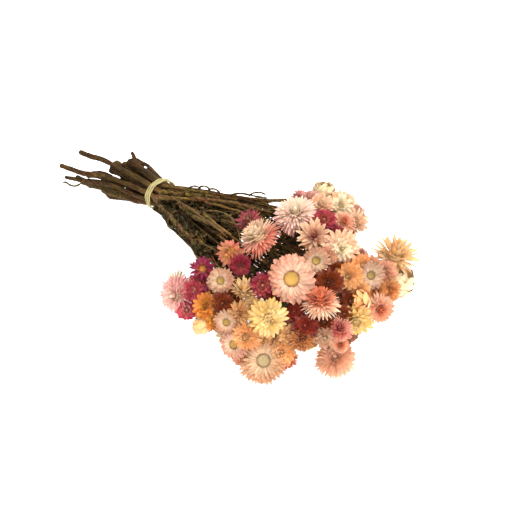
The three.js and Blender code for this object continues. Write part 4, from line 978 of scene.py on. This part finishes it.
def raise_bark(mesh, node):
    """Bends the stem's ends and stalks, and gives it ridges along its length and lumps."""
    co, normals = vertex_vectors(mesh, "co"), vertex_vectors(mesh, "normal")
    co = (bent(lowered(co / MM - SHIFT), node) + SHIFT) * MM
    along = co @ AXIS
    squeezed = (co - along[:, None] * AXIS * RIDGE_SPAN) * RIDGE_SCALE
    ridge = np.array([noise.fractal(Vector(p), 0.9, 2.1, 3) for p in squeezed])
    lump = np.array([noise.noise(Vector(p)) for p in co * LUMP_SCALE])
    behind = (TIE_AT - co / MM + SHIFT) @ AXIS
    grow = (ridge * RIDGE + lump * LUMP + END_SWELL * smooth(behind, *SWELL_STARTS)) * MM
    co = co + normals * grow[:, None]
    co[:, 2] = np.maximum(co[:, 2], BARK_CLEAR * MM)
    mesh.vertices.foreach_set("co", co.astype(np.float32).ravel())


def finished_stem(node, material):
    """The CAD stem made round and barky, and darker behind the tie."""
    copy = skinned_stem(node)
    raise_bark(copy.data, node)
    faces = len(copy.data.polygons) * 2
    if faces > BARK_FACES:
        thin = copy.modifiers.new("thin", "DECIMATE")
        thin.ratio = BARK_FACES / faces
        apply_modifiers(copy)
    mesh = copy.data
    mesh.materials.clear()
    mesh.materials.append(material)
    mesh.polygons.foreach_set("material_index", np.zeros(len(mesh.polygons), np.int32))
    mesh.polygons.foreach_set("use_smooth", np.ones(len(mesh.polygons), bool))
    shade = bark_tint(np.random.default_rng([SEED, int(node[-2:]), 5]), 1)
    past_tie = (vertex_vectors(mesh, "co") / MM - SHIFT - TIE_AT) @ AXIS
    set_tints(mesh, shade * mix(np.array(END_SHADE), 1, smooth(past_tie, *SHADE_ENDS)[:, None]))
    mesh.update()
    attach(copy, "root")
    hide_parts(node)


def stem_triangles():
    """The corners of the CAD stems' triangles."""
    corners = []
    for name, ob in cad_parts.items():
        if name.startswith("stem"):
            mesh = ob.data
            mesh.calc_loop_triangles()
            tri = np.empty(len(mesh.loop_triangles) * 3, np.int32)
            mesh.loop_triangles.foreach_get("vertices", tri)
            corners.append(node_points(ob)[tri.reshape(-1, 3)])
    return np.concatenate(corners)


def on_stems(count, low_x, high_x, rng):
    """Points on the CAD stems' skin between two distances along the bunch, with the skin's way out
    and the way that the stem runs there."""
    corners = stem_triangles()
    mid = corners.mean(1)
    corners = corners[(mid[:, 0] > low_x) & (mid[:, 0] < high_x)]
    a, b, c = corners[:, 0], corners[:, 1], corners[:, 2]
    cross = np.cross(b - a, c - a)
    area = np.linalg.norm(cross, axis=1)
    keep = area > 1e-6
    a, b, c, cross, area = a[keep], b[keep], c[keep], cross[keep], area[keep]
    pick = rng.choice(len(a), count, p=area / area.sum())
    s, t = np.sort(rng.uniform(0, 1, (2, count)), axis=0)[..., None]
    place = a[pick] * s + b[pick] * (t - s) + c[pick] * (1 - t)
    edges = np.stack([b - a, c - b, a - c], 1)[pick]
    longest = np.linalg.norm(edges, axis=2).argmax(1)
    run = unit(edges[np.arange(count), longest])
    run = run * np.where(run[:, :1] < 0, -1, 1)
    return place, unit(cross[pick]), run


def jitter(rng, count, amount):
    return rng.normal(0, amount, (count, 3))


def curved_paths(start, heading, length, bend, steps=8):
    """Lines of given length that set out along heading and turn about the vector bend."""
    points, way = [start], heading
    for _ in range(steps):
        points.append(points[-1] + way * length / steps)
        way = unit(way + np.cross(bend, way) / steps)
    return np.stack(points, 1)


def leaves_along(build, paths, half, face, tints, fold, twist, limit):
    """Leaves on the given midlines: half width, side that they face, and a fold up at the edges."""
    u, v, side, faces = LEAF_BLADE
    steps = paths.shape[1] - 1
    x = u * steps
    k = np.minimum(x.astype(int), steps - 1)
    f = (x - k)[None, :, None]
    mid = paths[:, k] * (1 - f) + paths[:, k + 1] * f
    way = unit(paths[:, k + 1] - paths[:, k])
    across = unit(np.cross(way, face[:, None]))
    normal = np.cross(across, way)
    angle = (twist * u)[..., None]
    across, normal = (across * np.cos(angle) + normal * np.sin(angle),
                      normal * np.cos(angle) - across * np.sin(angle))
    wide = half * np.sin(np.clip(u * 0.92 + 0.08, 0, 1) * math.pi) ** 0.8
    points = limit(mid + (v * wide)[..., None] * across
                   + (fold * wide * v * v + side * LEAF_THICK * 0.5)[..., None] * normal)
    points[..., 2] = np.maximum(points[..., 2], FLOOR_CLEAR)
    number = np.arange(len(paths))[:, None]
    blades = np.stack(np.broadcast_arrays(u[None], v[None], number * 3.7), 2)
    build.add(points, faces, tints[:, None], blades)


def tubes(build, paths, radii, sides, tints, closed=False):
    """Round rods on the given lines, with pointed or ring-closed ends."""
    n, rows = paths.shape[:2]
    if closed:
        way = unit(np.roll(paths, -1, 1) - np.roll(paths, 1, 1))
    else:
        way = unit(np.concatenate([paths[:, 1:2] - paths[:, :1], paths[:, 2:] - paths[:, :-2],
                                   paths[:, -1:] - paths[:, -2:-1]], 1))
    a = unit(np.cross(way, AXIS if closed else np.array([0.13, 0.21, 0.97])))
    b = np.cross(way, a)
    turn = np.arange(sides) / sides * math.tau
    ring = np.cos(turn)[:, None] * a[:, :, None] + np.sin(turn)[:, None] * b[:, :, None]
    points = (paths[:, :, None] + ring * radii[:, :, None, None]).reshape(n, rows * sides, 3)
    faces = []
    for i in range(rows if closed else rows - 1):
        p, q = i * sides, (i + 1) % rows * sides
        for j in range(sides):
            k = (j + 1) % sides
            faces += [(p + j, q + k, p + k), (p + j, q + j, q + k)]
    if not closed:
        points = np.concatenate([points, paths[:, :1], paths[:, -1:]], 1)
        start, end = rows * sides, rows * sides + 1
        for j in range(sides):
            k = (j + 1) % sides
            faces += [(start, j, k), (end, start - sides + k, start - sides + j)]
    points[..., 2] = np.maximum(points[..., 2], FLOOR_CLEAR)
    build.add(points, faces, tints)


# ---------- What keeps leaves and twigs inside the bunch ----------
INNER_MOUND = MOUND * 0.86
MOUND_FROM = -45  # the mound's surface holds what lies further along the bunch than this
E1 = unit(np.cross([0, 0, 1], AXIS))  # two directions square to the bunch's axis
E2 = np.cross(AXIS, E1)
FAN_SIDE = unit(0.76 * E1 + 0.65 * E2)
FAN_LOW, FAN_OPEN = 13.0, 10.0  # lower side of the fan: distance at the band, growth past it
FAN_TOP = (0.196, 0.98) @ SHOW[:2]  # square to the fan's upper side
FAN_TOP_AT, FILL_TOP_AT = 12.5, 9.5  # how far off the band's middle that lies, and the fill's top
CONE_BACK = 60  # the cone of lines to the blooms starts this far behind the tie
SEEN_SHARE = 0.92  # the share of a head's radius that hides what is behind it
MIDDLE_RIGHT = -15  # twigs may show left of this, over the fan
# The fan's lower edge as the camera sees it: a ragged bank of small leaves closes it
LOWER_EDGE = np.array([(-124, 66.5), (-117, 62), (-112.5, 57.5), (-108, 50.5), (-101, 44.5), (-96, 40),
                       (-91, 35), (-87, 30), (-83.5, 26), (-79, 21.5), (-74, 18)])


def inside_mound(points):
    """Draws what stands out of the mound back under its surface."""
    q = (points - CENTRE) / INNER_MOUND
    r = np.linalg.norm(q, axis=-1, keepdims=True)
    return np.where(points[..., :1] > MOUND_FROM, q / np.maximum(r, 1) * INNER_MOUND + CENTRE, points)


def above_edge(points):
    """Draws what stands out of the fan's lower edge back to it, in the camera's view."""
    right, up = in_view(points)
    short = np.interp(right, LOWER_EDGE[:, 0], LOWER_EDGE[:, 1], -200, -200) - up
    return points + 0.9 * np.maximum(short, 0)[..., None] * SHOW[1]


def inside_fan(points, top=FAN_TOP_AT):
    """Draws what stands out of the fan's sides back to them."""
    from_tie = points - TIE_AT
    low = from_tie @ FAN_SIDE + FAN_LOW + FAN_OPEN * np.clip(from_tie @ AXIS / 50, 0, 1)
    points = points - np.minimum(low, 0)[..., None] * FAN_SIDE
    high = (points - TIE_AT) @ FAN_TOP - top
    return lowered(above_edge(points - 0.9 * np.maximum(high, 0)[..., None] * FAN_TOP))


def shows_outside(points, heads, wide=0.0, from_right=-np.inf):
    """Whether a line stands out past the heads in the camera's view, right of from_right."""
    flat = points @ SHOW[:2].T
    places = np.array([h["centre"] for h in heads]) @ SHOW[:2].T
    radii = np.array([h["radius"] * SEEN_SHARE for h in heads])
    gap = (np.linalg.norm(flat[:, :, None] - places, axis=3) - radii).min(2)
    return np.where(flat[..., 0] > from_right, gap, -np.inf).max(1) > -wide


def in_cone(paths):
    """Whether lines end inside the cone from behind the tie that the mound of blooms closes."""
    apex = TIE_AT - CONE_BACK * AXIS
    q, d = (apex - CENTRE) / INNER_MOUND, unit(paths[:, -1] - apex) / INNER_MOUND
    return (d @ q) ** 2 >= (d * d).sum(1) * (q @ q - 1)


# ---------- Leaves ----------
LEAF_THICK = 0.35
# The leaves inside the mound are toned darker than the fan's: partly the dried leaves' own olive, partly
# painted shade of the deep gaps between the blooms that they close.
MOUND_LEAF_SHADE_TONES, FAN_TONES, FILL_TONES, EDGE_TONES = (np.array([rgb(c) for c in tones]) for tones in (
    (0x2C2E14, 0x383818, 0x48431E, 0x322714, 0x4C381E),
    (0x3C301A, 0x524324, 0x68562E, 0x48381C, 0x585028),
    (0x2A2410, 0x3A3018, 0x4A3C1E, 0x2E2412, 0x57482A),
    (0x2E2A14, 0x3C3418, 0x4A3E1E, 0x332612, 0x5A4A28)))
# How many, between which distances along the bunch, length, half width, tones, what holds them
LEAVES = [(900, MOUND_FROM, 110, (16, 34), (2.2, 5.0), MOUND_LEAF_SHADE_TONES, inside_mound),
          (160, -183, MOUND_FROM, (6, 13), (0.8, 1.8), FAN_TONES, inside_fan)]
# Seed, how many, up to which distance along the bunch, length and half width of the fan's fill
FAN_FILLS = [(71, 1400, -40, (7, 16), (0.8, 2.0)), (73, 700, -110, (7, 14), (0.8, 1.8))]
FAN_FROM = -184
EDGE_LEAVES, EDGE_BAND = 480, (0.5, 15)  # how many, and how far from the fan's lower edge
INTO_FAN = np.array([0.7, 0.7])  # the way from that edge into the fan, as (right, up)


def between_stems(count, low_x, high_x, rng):
    """Points in the spaces between neighbouring stems of the fan."""
    place, out, _ = on_stems(count * 2, low_x, high_x, rng)
    order = np.argsort(place[:, 0] + rng.uniform(0, 5, len(place)))
    a, b = place[order[0::2]], place[order[1::2]]
    return mix(a, b, rng.uniform(0, 1, (count, 1))), unit(out[order[0::2]])


def from_tie_outwards(start, back, spread, rng):
    """The ways away from a point behind the tie, with some spread."""
    return unit(start - (TIE_AT - back * AXIS) + jitter(rng, len(start), spread))


def picked(tones, rng, count, dark, light):
    """A tone for each leaf, made darker or lighter."""
    return tones[rng.integers(0, len(tones), count)] * rng.uniform(dark, light, (count, 1))


def crumpled(build, rng, paths, half, face, tints, limit):
    """Crumpled leaves on the given midlines."""
    shape = (len(paths), 1)
    leaves_along(build, paths, rng.uniform(*half, shape), face, tints, rng.uniform(0.3, 1.4, shape),
                 rng.normal(0, 2.0, shape), limit)


def grow_leaves(build, heads, count, low, high, length, half, tones, limit):
    """Curled leaves that grow out of the stems; those in the mound that would show past it go."""
    rng = np.random.default_rng([SEED, count])
    start, out, run = on_stems(count, low, high, rng)
    heading = unit(run * rng.uniform(0.2, 1, (count, 1)) + out * rng.uniform(0.4, 1, (count, 1))
                   + jitter(rng, count, 0.25))
    size = rng.uniform(*length, (count, 1))
    paths = curved_paths(start - out * 0.3, heading, size, jitter(rng, count, 1.5))
    hidden = ~shows_outside(paths, heads, half[1])
    keep = hidden if limit is inside_mound else np.ones(count, bool)
    face = unit(out + jitter(rng, count, 0.4))
    tints = picked(tones, rng, count, 0.75, 1.2)
    width, fold = rng.uniform(*half, (count, 1)), rng.uniform(0.2, 1.3, (count, 1))
    twist = rng.normal(0, 1.6, (count, 1))
    leaves_along(build, paths[keep], width[keep], face[keep], tints[keep], fold[keep], twist[keep],
                 limit)


def fill_fan(build, seed, count, high_x, length, half):
    """Crumpled dark leaves packed between the stems of the fan."""
    rng = np.random.default_rng([SEED, seed])
    start, face = between_stems(count, FAN_FROM, high_x, rng)
    way = from_tie_outwards(start, 40, 14.0, rng)
    paths = curved_paths(start, way, rng.uniform(*length, (count, 1)), jitter(rng, count, 2.0))
    tints = picked(FILL_TONES, rng, count, 0.6, 1.3)
    crumpled(build, rng, paths, half, face, tints, lambda points: inside_fan(points, FILL_TOP_AT))


def make_edge_leaves(build, tree):
    """Small crumpled leaves along the fan's lower edge."""
    rng = np.random.default_rng([SEED, 75])
    count = EDGE_LEAVES
    place = rng.uniform(0, len(LOWER_EDGE) - 1.001, count)  # the edge's points count as whole numbers
    k = place.astype(int)
    run = LOWER_EDGE[k + 1] - LOWER_EDGE[k]
    flat = LOWER_EDGE[k] + run * (place - k)[:, None]
    flat = flat + INTO_FAN * rng.uniform(*EDGE_BAND, (count, 1))
    order = np.argsort(place)
    flat, run = flat[order], unit(run[order])
    out = fan_depth(tree, flat) + rng.uniform(-3, 3, count)
    start = np.column_stack([flat, out]) @ SHOW + CENTRE
    heading = unit(run @ SHOW[:2] + jitter(rng, count, 0.45))
    paths = curved_paths(start, heading, rng.uniform(6, 13, (count, 1)), jitter(rng, count, 2.0))
    tints = picked(EDGE_TONES, rng, count, 0.6, 1.3)
    face = unit(SHOW[2] + jitter(rng, count, 0.6))
    crumpled(build, rng, paths, (0.9, 2.0), face, tints, above_edge)


def make_leaves(material, tree, heads):
    """Dark shrivelled leaves: many inside the mound, which shut the gaps and are toned darker partly as
    painted shade, and curly ones on the fan.
    """
    build = Build()
    for leaves in LEAVES:
        grow_leaves(build, heads, *leaves)
    for fill in FAN_FILLS:
        fill_fan(build, *fill)
    make_edge_leaves(build, tree)
    piece = build.make("shrivelled_leaves", [material])
    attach(piece, "root")


# ---------- Twigs ----------
# Branches that lie on the fan, as the camera sees them: radius, tint of the bark, and points of
# (right, up) from the mound's centre
BRANCHES = [
    (1.8, (1.75, 1.5, 1.25), [(-107, 66), (-101, 62), (-96, 58.5), (-93, 54.5), (-90, 51), (-85.5, 48),
                              (-80, 46.5), (-75, 44), (-70, 42), (-65, 38), (-59, 33)]),
    (0.7, (2.4, 2.2, 0.9), [(-69, 41), (-65, 42), (-61, 42.3), (-57, 41)]),
    (2.3, (1.25, 1.2, 1.25), [(-97, 69), (-93.5, 65), (-90, 62), (-86, 59.5), (-81, 56.5), (-75, 54.5),
                              (-68, 52), (-62, 48), (-55, 43)]),
    (1.8, (0.8, 0.75, 0.7), [(-94, 62), (-88, 54), (-81, 50), (-74, 47), (-67, 45), (-59, 43)]),
    (1.4, (2.4, 2.4, 2.6), [(-76.5, 64), (-74, 60), (-69, 56), (-65, 52), (-60, 48), (-56, 45.5),
                            (-51, 42)]),
    (1.3, (1.8, 1.55, 1.5), [(-77.5, 75), (-74, 71.5), (-68, 70), (-61, 69), (-54, 66), (-47, 64.5),
                             (-40, 63)]),
    (2.0, (1.5, 1.4, 1.1), [(-117, 82.5), (-106, 80.5), (-94.5, 79), (-79, 78), (-66.5, 77),
                            (-52, 75.5), (-34, 73.5), (-18, 70)]),
    (2.2, (1.25, 1.05, 0.95), [(-121.5, 77.5), (-106, 75.5), (-88, 74.5), (-70, 74), (-56, 72),
                               (-43, 70), (-32.5, 66.5), (-23, 64)]),
    (1.6, (1.1, 1.1, 0.8), [(-113, 87), (-102, 85), (-88, 82.5), (-76.5, 81), (-65, 79)]),
    (0.6, (1.7, 1.4, 1.2), [(-106, 68), (-102.5, 70), (-98, 71.5), (-95.5, 70), (-93.5, 66.5)]),
    (1.6, (0.9, 0.9, 0.7), [(-88, 44), (-83, 36), (-76.5, 29), (-69, 22.5)]),
    (1.4, (1.0, 0.95, 0.8), [(-77.5, 41.5), (-72, 34), (-66.5, 28), (-63, 22.5)]),
]
# Curled ends and dry leaf stalks that stand over the fan's upper edge, and a rootlet
CURLS = [
    (0.9, [(-90, 85), (-87.5, 86.5), (-84.5, 87), (-82, 86.5), (-79, 84.5)]),
    (0.9, [(-81, 85), (-79, 86.5), (-75.5, 87), (-73, 86), (-70, 83.5)]),
    (0.9, [(-72, 83.5), (-69, 84.5), (-65.5, 84), (-62.5, 82), (-61.5, 80), (-62, 77)]),
    (1.0, [(-62, 78), (-56, 78), (-50.5, 79), (-46, 80), (-40.5, 80), (-34, 78.5), (-27, 77),
           (-19, 76)]),
    (0.9, [(-35, 78), (-32.5, 80), (-29, 81), (-24.5, 81), (-20, 79)]),
    (0.9, [(-184, 93.5), (-186, 92.5), (-189, 89), (-193.5, 87), (-197, 87.5), (-200, 89),
            (-202.5, 91), (-205, 90.5)]),
]
CURL_TINT = (0.8, 0.85, 0.55)
# How many, between which distances along the bunch, length, radius, greatest lean off the stem
# and how far right they may show
TWIGS = [(70, -185, -40, (18, 60), (0.45, 0.95), 0.7, MIDDLE_RIGHT),
         (60, -185, -120, (80, 150), (0.8, 1.5), 0.25, MIDDLE_RIGHT),
         (60, -45, 60, (20, 45), (0.4, 0.8), 0.7, -np.inf)]
LONG_TWIGS = 150
FAN_MIDDLE = (-190, -115, -60, 0), (95, 77, 55, 50)  # where its stems spread from, as (right, up)


def rounded(rows):
    """Cuts a line's corners, twice."""
    for _ in range(2):
        cut = np.stack([mix(rows[:-1], rows[1:], 0.25), mix(rows[:-1], rows[1:], 0.75)], 1)
        rows = np.concatenate([rows[:1], cut.reshape(-1, rows.shape[1]), rows[-1:]])
    return rows


def fan_depth(tree, flat):
    """How far out the stems lie at each (right, up); beside them, that of the nearest ones inwards."""
    out = np.full(len(flat), np.nan)
    for i, (right, up) in enumerate(flat):
        middle = np.interp(right, *FAN_MIDDLE)
        for inward in (0, 2, 4, 6, 9, 12):
            toward = math.copysign(inward, middle - up)
            origin = Vector(np.array([right, up + toward, 400]) @ SHOW + CENTRE)
            hit = tree.ray_cast(origin, Vector(-SHOW[2]))[0]
            if hit is not None:
                out[i] = (np.array(hit) - CENTRE) @ SHOW[2]
                break
    known = np.isfinite(out)
    return np.interp(np.arange(len(out)), np.flatnonzero(known), out[known])


def windows(row, reach):
    """Each value of a row with its neighbours to either side."""
    padded = np.pad(row, reach, mode="edge")
    return [padded[i:i + len(row)] for i in range(2 * reach + 1)]


def settled(out):
    """A smooth line of depths that nowhere sinks much under those given."""
    return np.mean(windows(np.max(windows(out, 2), 0), 3), 0)


def lay_branches(build, tree):
    rng = np.random.default_rng([SEED, 74])
    lines = [(radius, tint, line, 0.5) for radius, tint, line in BRANCHES]
    lines += [(radius, CURL_TINT, line, 0.0) for radius, line in CURLS]
    for radius, tint, line, lift in lines:
        flat = rounded(np.array(line, float))
        out = settled(fan_depth(tree, flat)) + radius * lift + lift
        points = np.column_stack([flat, out]) @ SHOW + CENTRE
        swell = 1 + 0.12 * np.sin(np.arange(len(flat)) * 0.9 + rng.uniform(0, 6))
        taper = np.interp(np.linspace(0, 1, len(flat)), (0, 0.08, 0.85, 1), (0.7, 1, 0.9, 0.6))
        tubes(build, points[None], (radius * swell * taper)[None], 8, np.array(tint))


def lay_twigs(build, rng, paths, heads, from_right, radius, thin_end, sides):
    """Tapered twigs on those lines that stay inside the bunch and don't show past the blooms."""
    paths = inside_mound(inside_fan(paths))
    paths = paths[in_cone(paths) & ~shows_outside(paths, heads, 0, from_right)]
    count, rows = paths.shape[:2]
    radii = rng.uniform(*radius, (count, 1)) * np.linspace(1, thin_end, rows)[None]
    tubes(build, paths, radii, sides, bark_tint(rng, count)[:, None])


def make_twigs(material, tree, heads):
    """Branches and fine side twigs on the stems of the fan."""
    build = Build()
    lay_branches(build, tree)
    for count, low, high, length, radius, lean, from_right in TWIGS:
        rng = np.random.default_rng([SEED, count, 7])
        start, out, run = on_stems(count, low, high, rng)
        heading = unit(run + out * rng.uniform(0.1, lean, (count, 1)) + jitter(rng, count, 0.08))
        paths = curved_paths(start - out * 0.4, heading, rng.uniform(*length, (count, 1)),
                             jitter(rng, count, 0.4))
        lay_twigs(build, rng, paths, heads, from_right, radius, 0.35, 5)
    rng = np.random.default_rng([SEED, 72])
    start, _ = between_stems(LONG_TWIGS, FAN_FROM, -90, rng)
    way = from_tie_outwards(start, 30, 6.0, rng)
    paths = curved_paths(start, way, rng.uniform(50, 110, (LONG_TWIGS, 1)),
                         jitter(rng, LONG_TWIGS, 0.35), 10)
    lay_twigs(build, rng, paths, heads, MIDDLE_RIGHT, (0.6, 1.4), 0.5, 6)
    piece = build.make("side_twigs", [material])
    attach(piece, "root")


# ---------- Tie ----------
FIBRES, FIBRE_R = 5, 0.36  # of one turn of raffia
WINDING, WINDS = 0.42, 6  # how far the fibres wind off the turn's line, and how often
LINE_OUT, LANE_STEP = 0.8, 1.06  # the line off the band's inner side, and from lane to lane over STRAND_W
FIBRE_STEPS = 120
RAFFIA_TONES = rgb(0xC6BD88), rgb(0x968A54)


def make_tie(material):
    """Three turns of raffia, each a bundle of fibres that winds a little as it goes round."""
    build = Build()
    rng = np.random.default_rng([SEED, 3])
    turn = np.arange(FIBRE_STEPS) / FIBRE_STEPS * math.tau
    for lane in (-1, 0, 1):
        phase = np.arange(FIBRES)[:, None] / FIBRES * math.tau
        wind = phase + turn[None] * WINDS + lane
        wave = 0.25 * np.cos(turn * 9 + lane) + 0.15 * lane
        sway = 0.35 * np.sin(turn * 2 + lane)
        out = BAND_IN + LINE_OUT + WINDING * np.cos(wind) + wave[None]
        along = lane * STRAND_W * LANE_STEP + WINDING * np.sin(wind) + sway[None]
        paths = (TIE_AT + along[..., None] * AXIS
                 + (out * np.cos(turn))[..., None] * E1 + (out * np.sin(turn))[..., None] * E2)
        radii = np.full((FIBRES, FIBRE_STEPS), FIBRE_R) * rng.uniform(0.85, 1.15, (FIBRES, 1))
        tints = mix(*RAFFIA_TONES, rng.uniform(0, 1, (FIBRES, 1)))[:, None]
        tubes(build, paths, radii, 6, tints, closed=True)
    piece = build.make("raffia_turns", [material])
    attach(piece, "root")
    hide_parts("raffia_tie")


# ---------- Stage ----------
FLOOR_HALF = 6.0  # metres
# Lights: way from the blooms (right, up, out) and size in metres, power, colour
LIGHTS = {"key": ((0.4, 1.5, 1.2), 0.9, 40, (1, 0.95, 0.88)),
          "front": ((0.3, -0.2, 2.0), 1.6, 26, (1, 0.97, 0.93))}
SKY = 0.95


def make_floor():
    mesh = bpy.data.meshes.new("floor")
    corners = [(x * FLOOR_HALF, y * FLOOR_HALF, 0) for x, y in ((-1, -1), (1, -1), (1, 1), (-1, 1))]
    mesh.from_pydata(corners, [], [(0, 1, 2, 3)])
    floor = add_object("floor", mesh)
    material, tree, shader = new_material("pale_floor")
    grain = add(tree, "ShaderNodeTexNoise", Scale=30.0)
    shade = ramp_node(tree, grain.outputs["Fac"], [(0, (0.93, 0.93, 0.93)), (1, (0.96, 0.96, 0.96))])
    set_inputs(tree, shader, Base_Color=shade, Roughness=0.9, Specular_IOR_Level=0.1,
               Emission_Color=(*WHITE, 1), Emission_Strength=0.9)
    mesh.materials.append(material)


def add_light(name, way, size, power, colour):
    """A round soft light on the blooms."""
    data = bpy.data.lights.new(name, "AREA")
    data.shape = "DISK"
    data.size = size
    data.energy = power
    data.color = colour
    light = add_object(name, data)
    aim = Vector((CENTRE + SHIFT) * MM)
    light.location = aim + Vector(np.array(way) @ SHOW)
    light.rotation_euler = (aim - light.location).to_track_quat("-Z", "Y").to_euler()


def add_camera():
    data = bpy.data.cameras.new("camera")
    camera = add_object("camera", data)
    right = (FRAME_PX / 2 - MOUND_PX[0]) * PIXEL
    up = (MOUND_PX[1] - FRAME_PX / 2) * PIXEL
    aim = CENTRE + SHIFT + np.array([right, up, 0]) @ SHOW
    camera.location = Vector((aim + SHOW[2] * CAMERA_BACK) * MM)
    camera.rotation_euler = Vector(-SHOW[2]).to_track_quat("-Z", "Y").to_euler()
    data.sensor_width = SENSOR
    data.lens = SENSOR * CAMERA_BACK / (FRAME_PX * PIXEL)
    data.clip_end = 50
    scene.camera = camera


def light_up():
    world = bpy.data.worlds.new("studio")
    world.use_nodes = True
    tree = world.node_tree
    set_inputs(tree, tree.nodes["Background"], Color=(*WHITE, 1), Strength=SKY)
    scene.world = world
    for name, light in LIGHTS.items():
        add_light(name, *light)
    scene.view_settings.view_transform = "Standard"


# ---------- Everything ----------
all_heads = show_heads() + far_heads() + under_heads()
for index, head in enumerate(all_heads):
    head["index"] = index
    head["sway"] = np.random.default_rng([SEED, index, 1]).uniform(0, math.tau, 5)
find_walls(all_heads)

add_camera()
light_up()
make_floor()
bloom_materials = [bract_material("papery_bract", 0.45), floret_material(),
                   bract_material("closed_bract", 0.12)]
bark = bark_material()
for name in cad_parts:
    if name.startswith("bloom"):
        make_bloom(name, [h for h in all_heads if h["node"] == name], bloom_materials)
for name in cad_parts:
    if name.startswith("stem"):
        finished_stem(name, bark)
triangles = stem_triangles()
stem_tree = BVHTree.FromPolygons(triangles.reshape(-1, 3).tolist(),
                                 np.arange(triangles.size // 3).reshape(-1, 3).tolist())
make_leaves(leaf_material(), stem_tree, all_heads)
make_twigs(bark, stem_tree, all_heads)
make_tie(raffia_material())
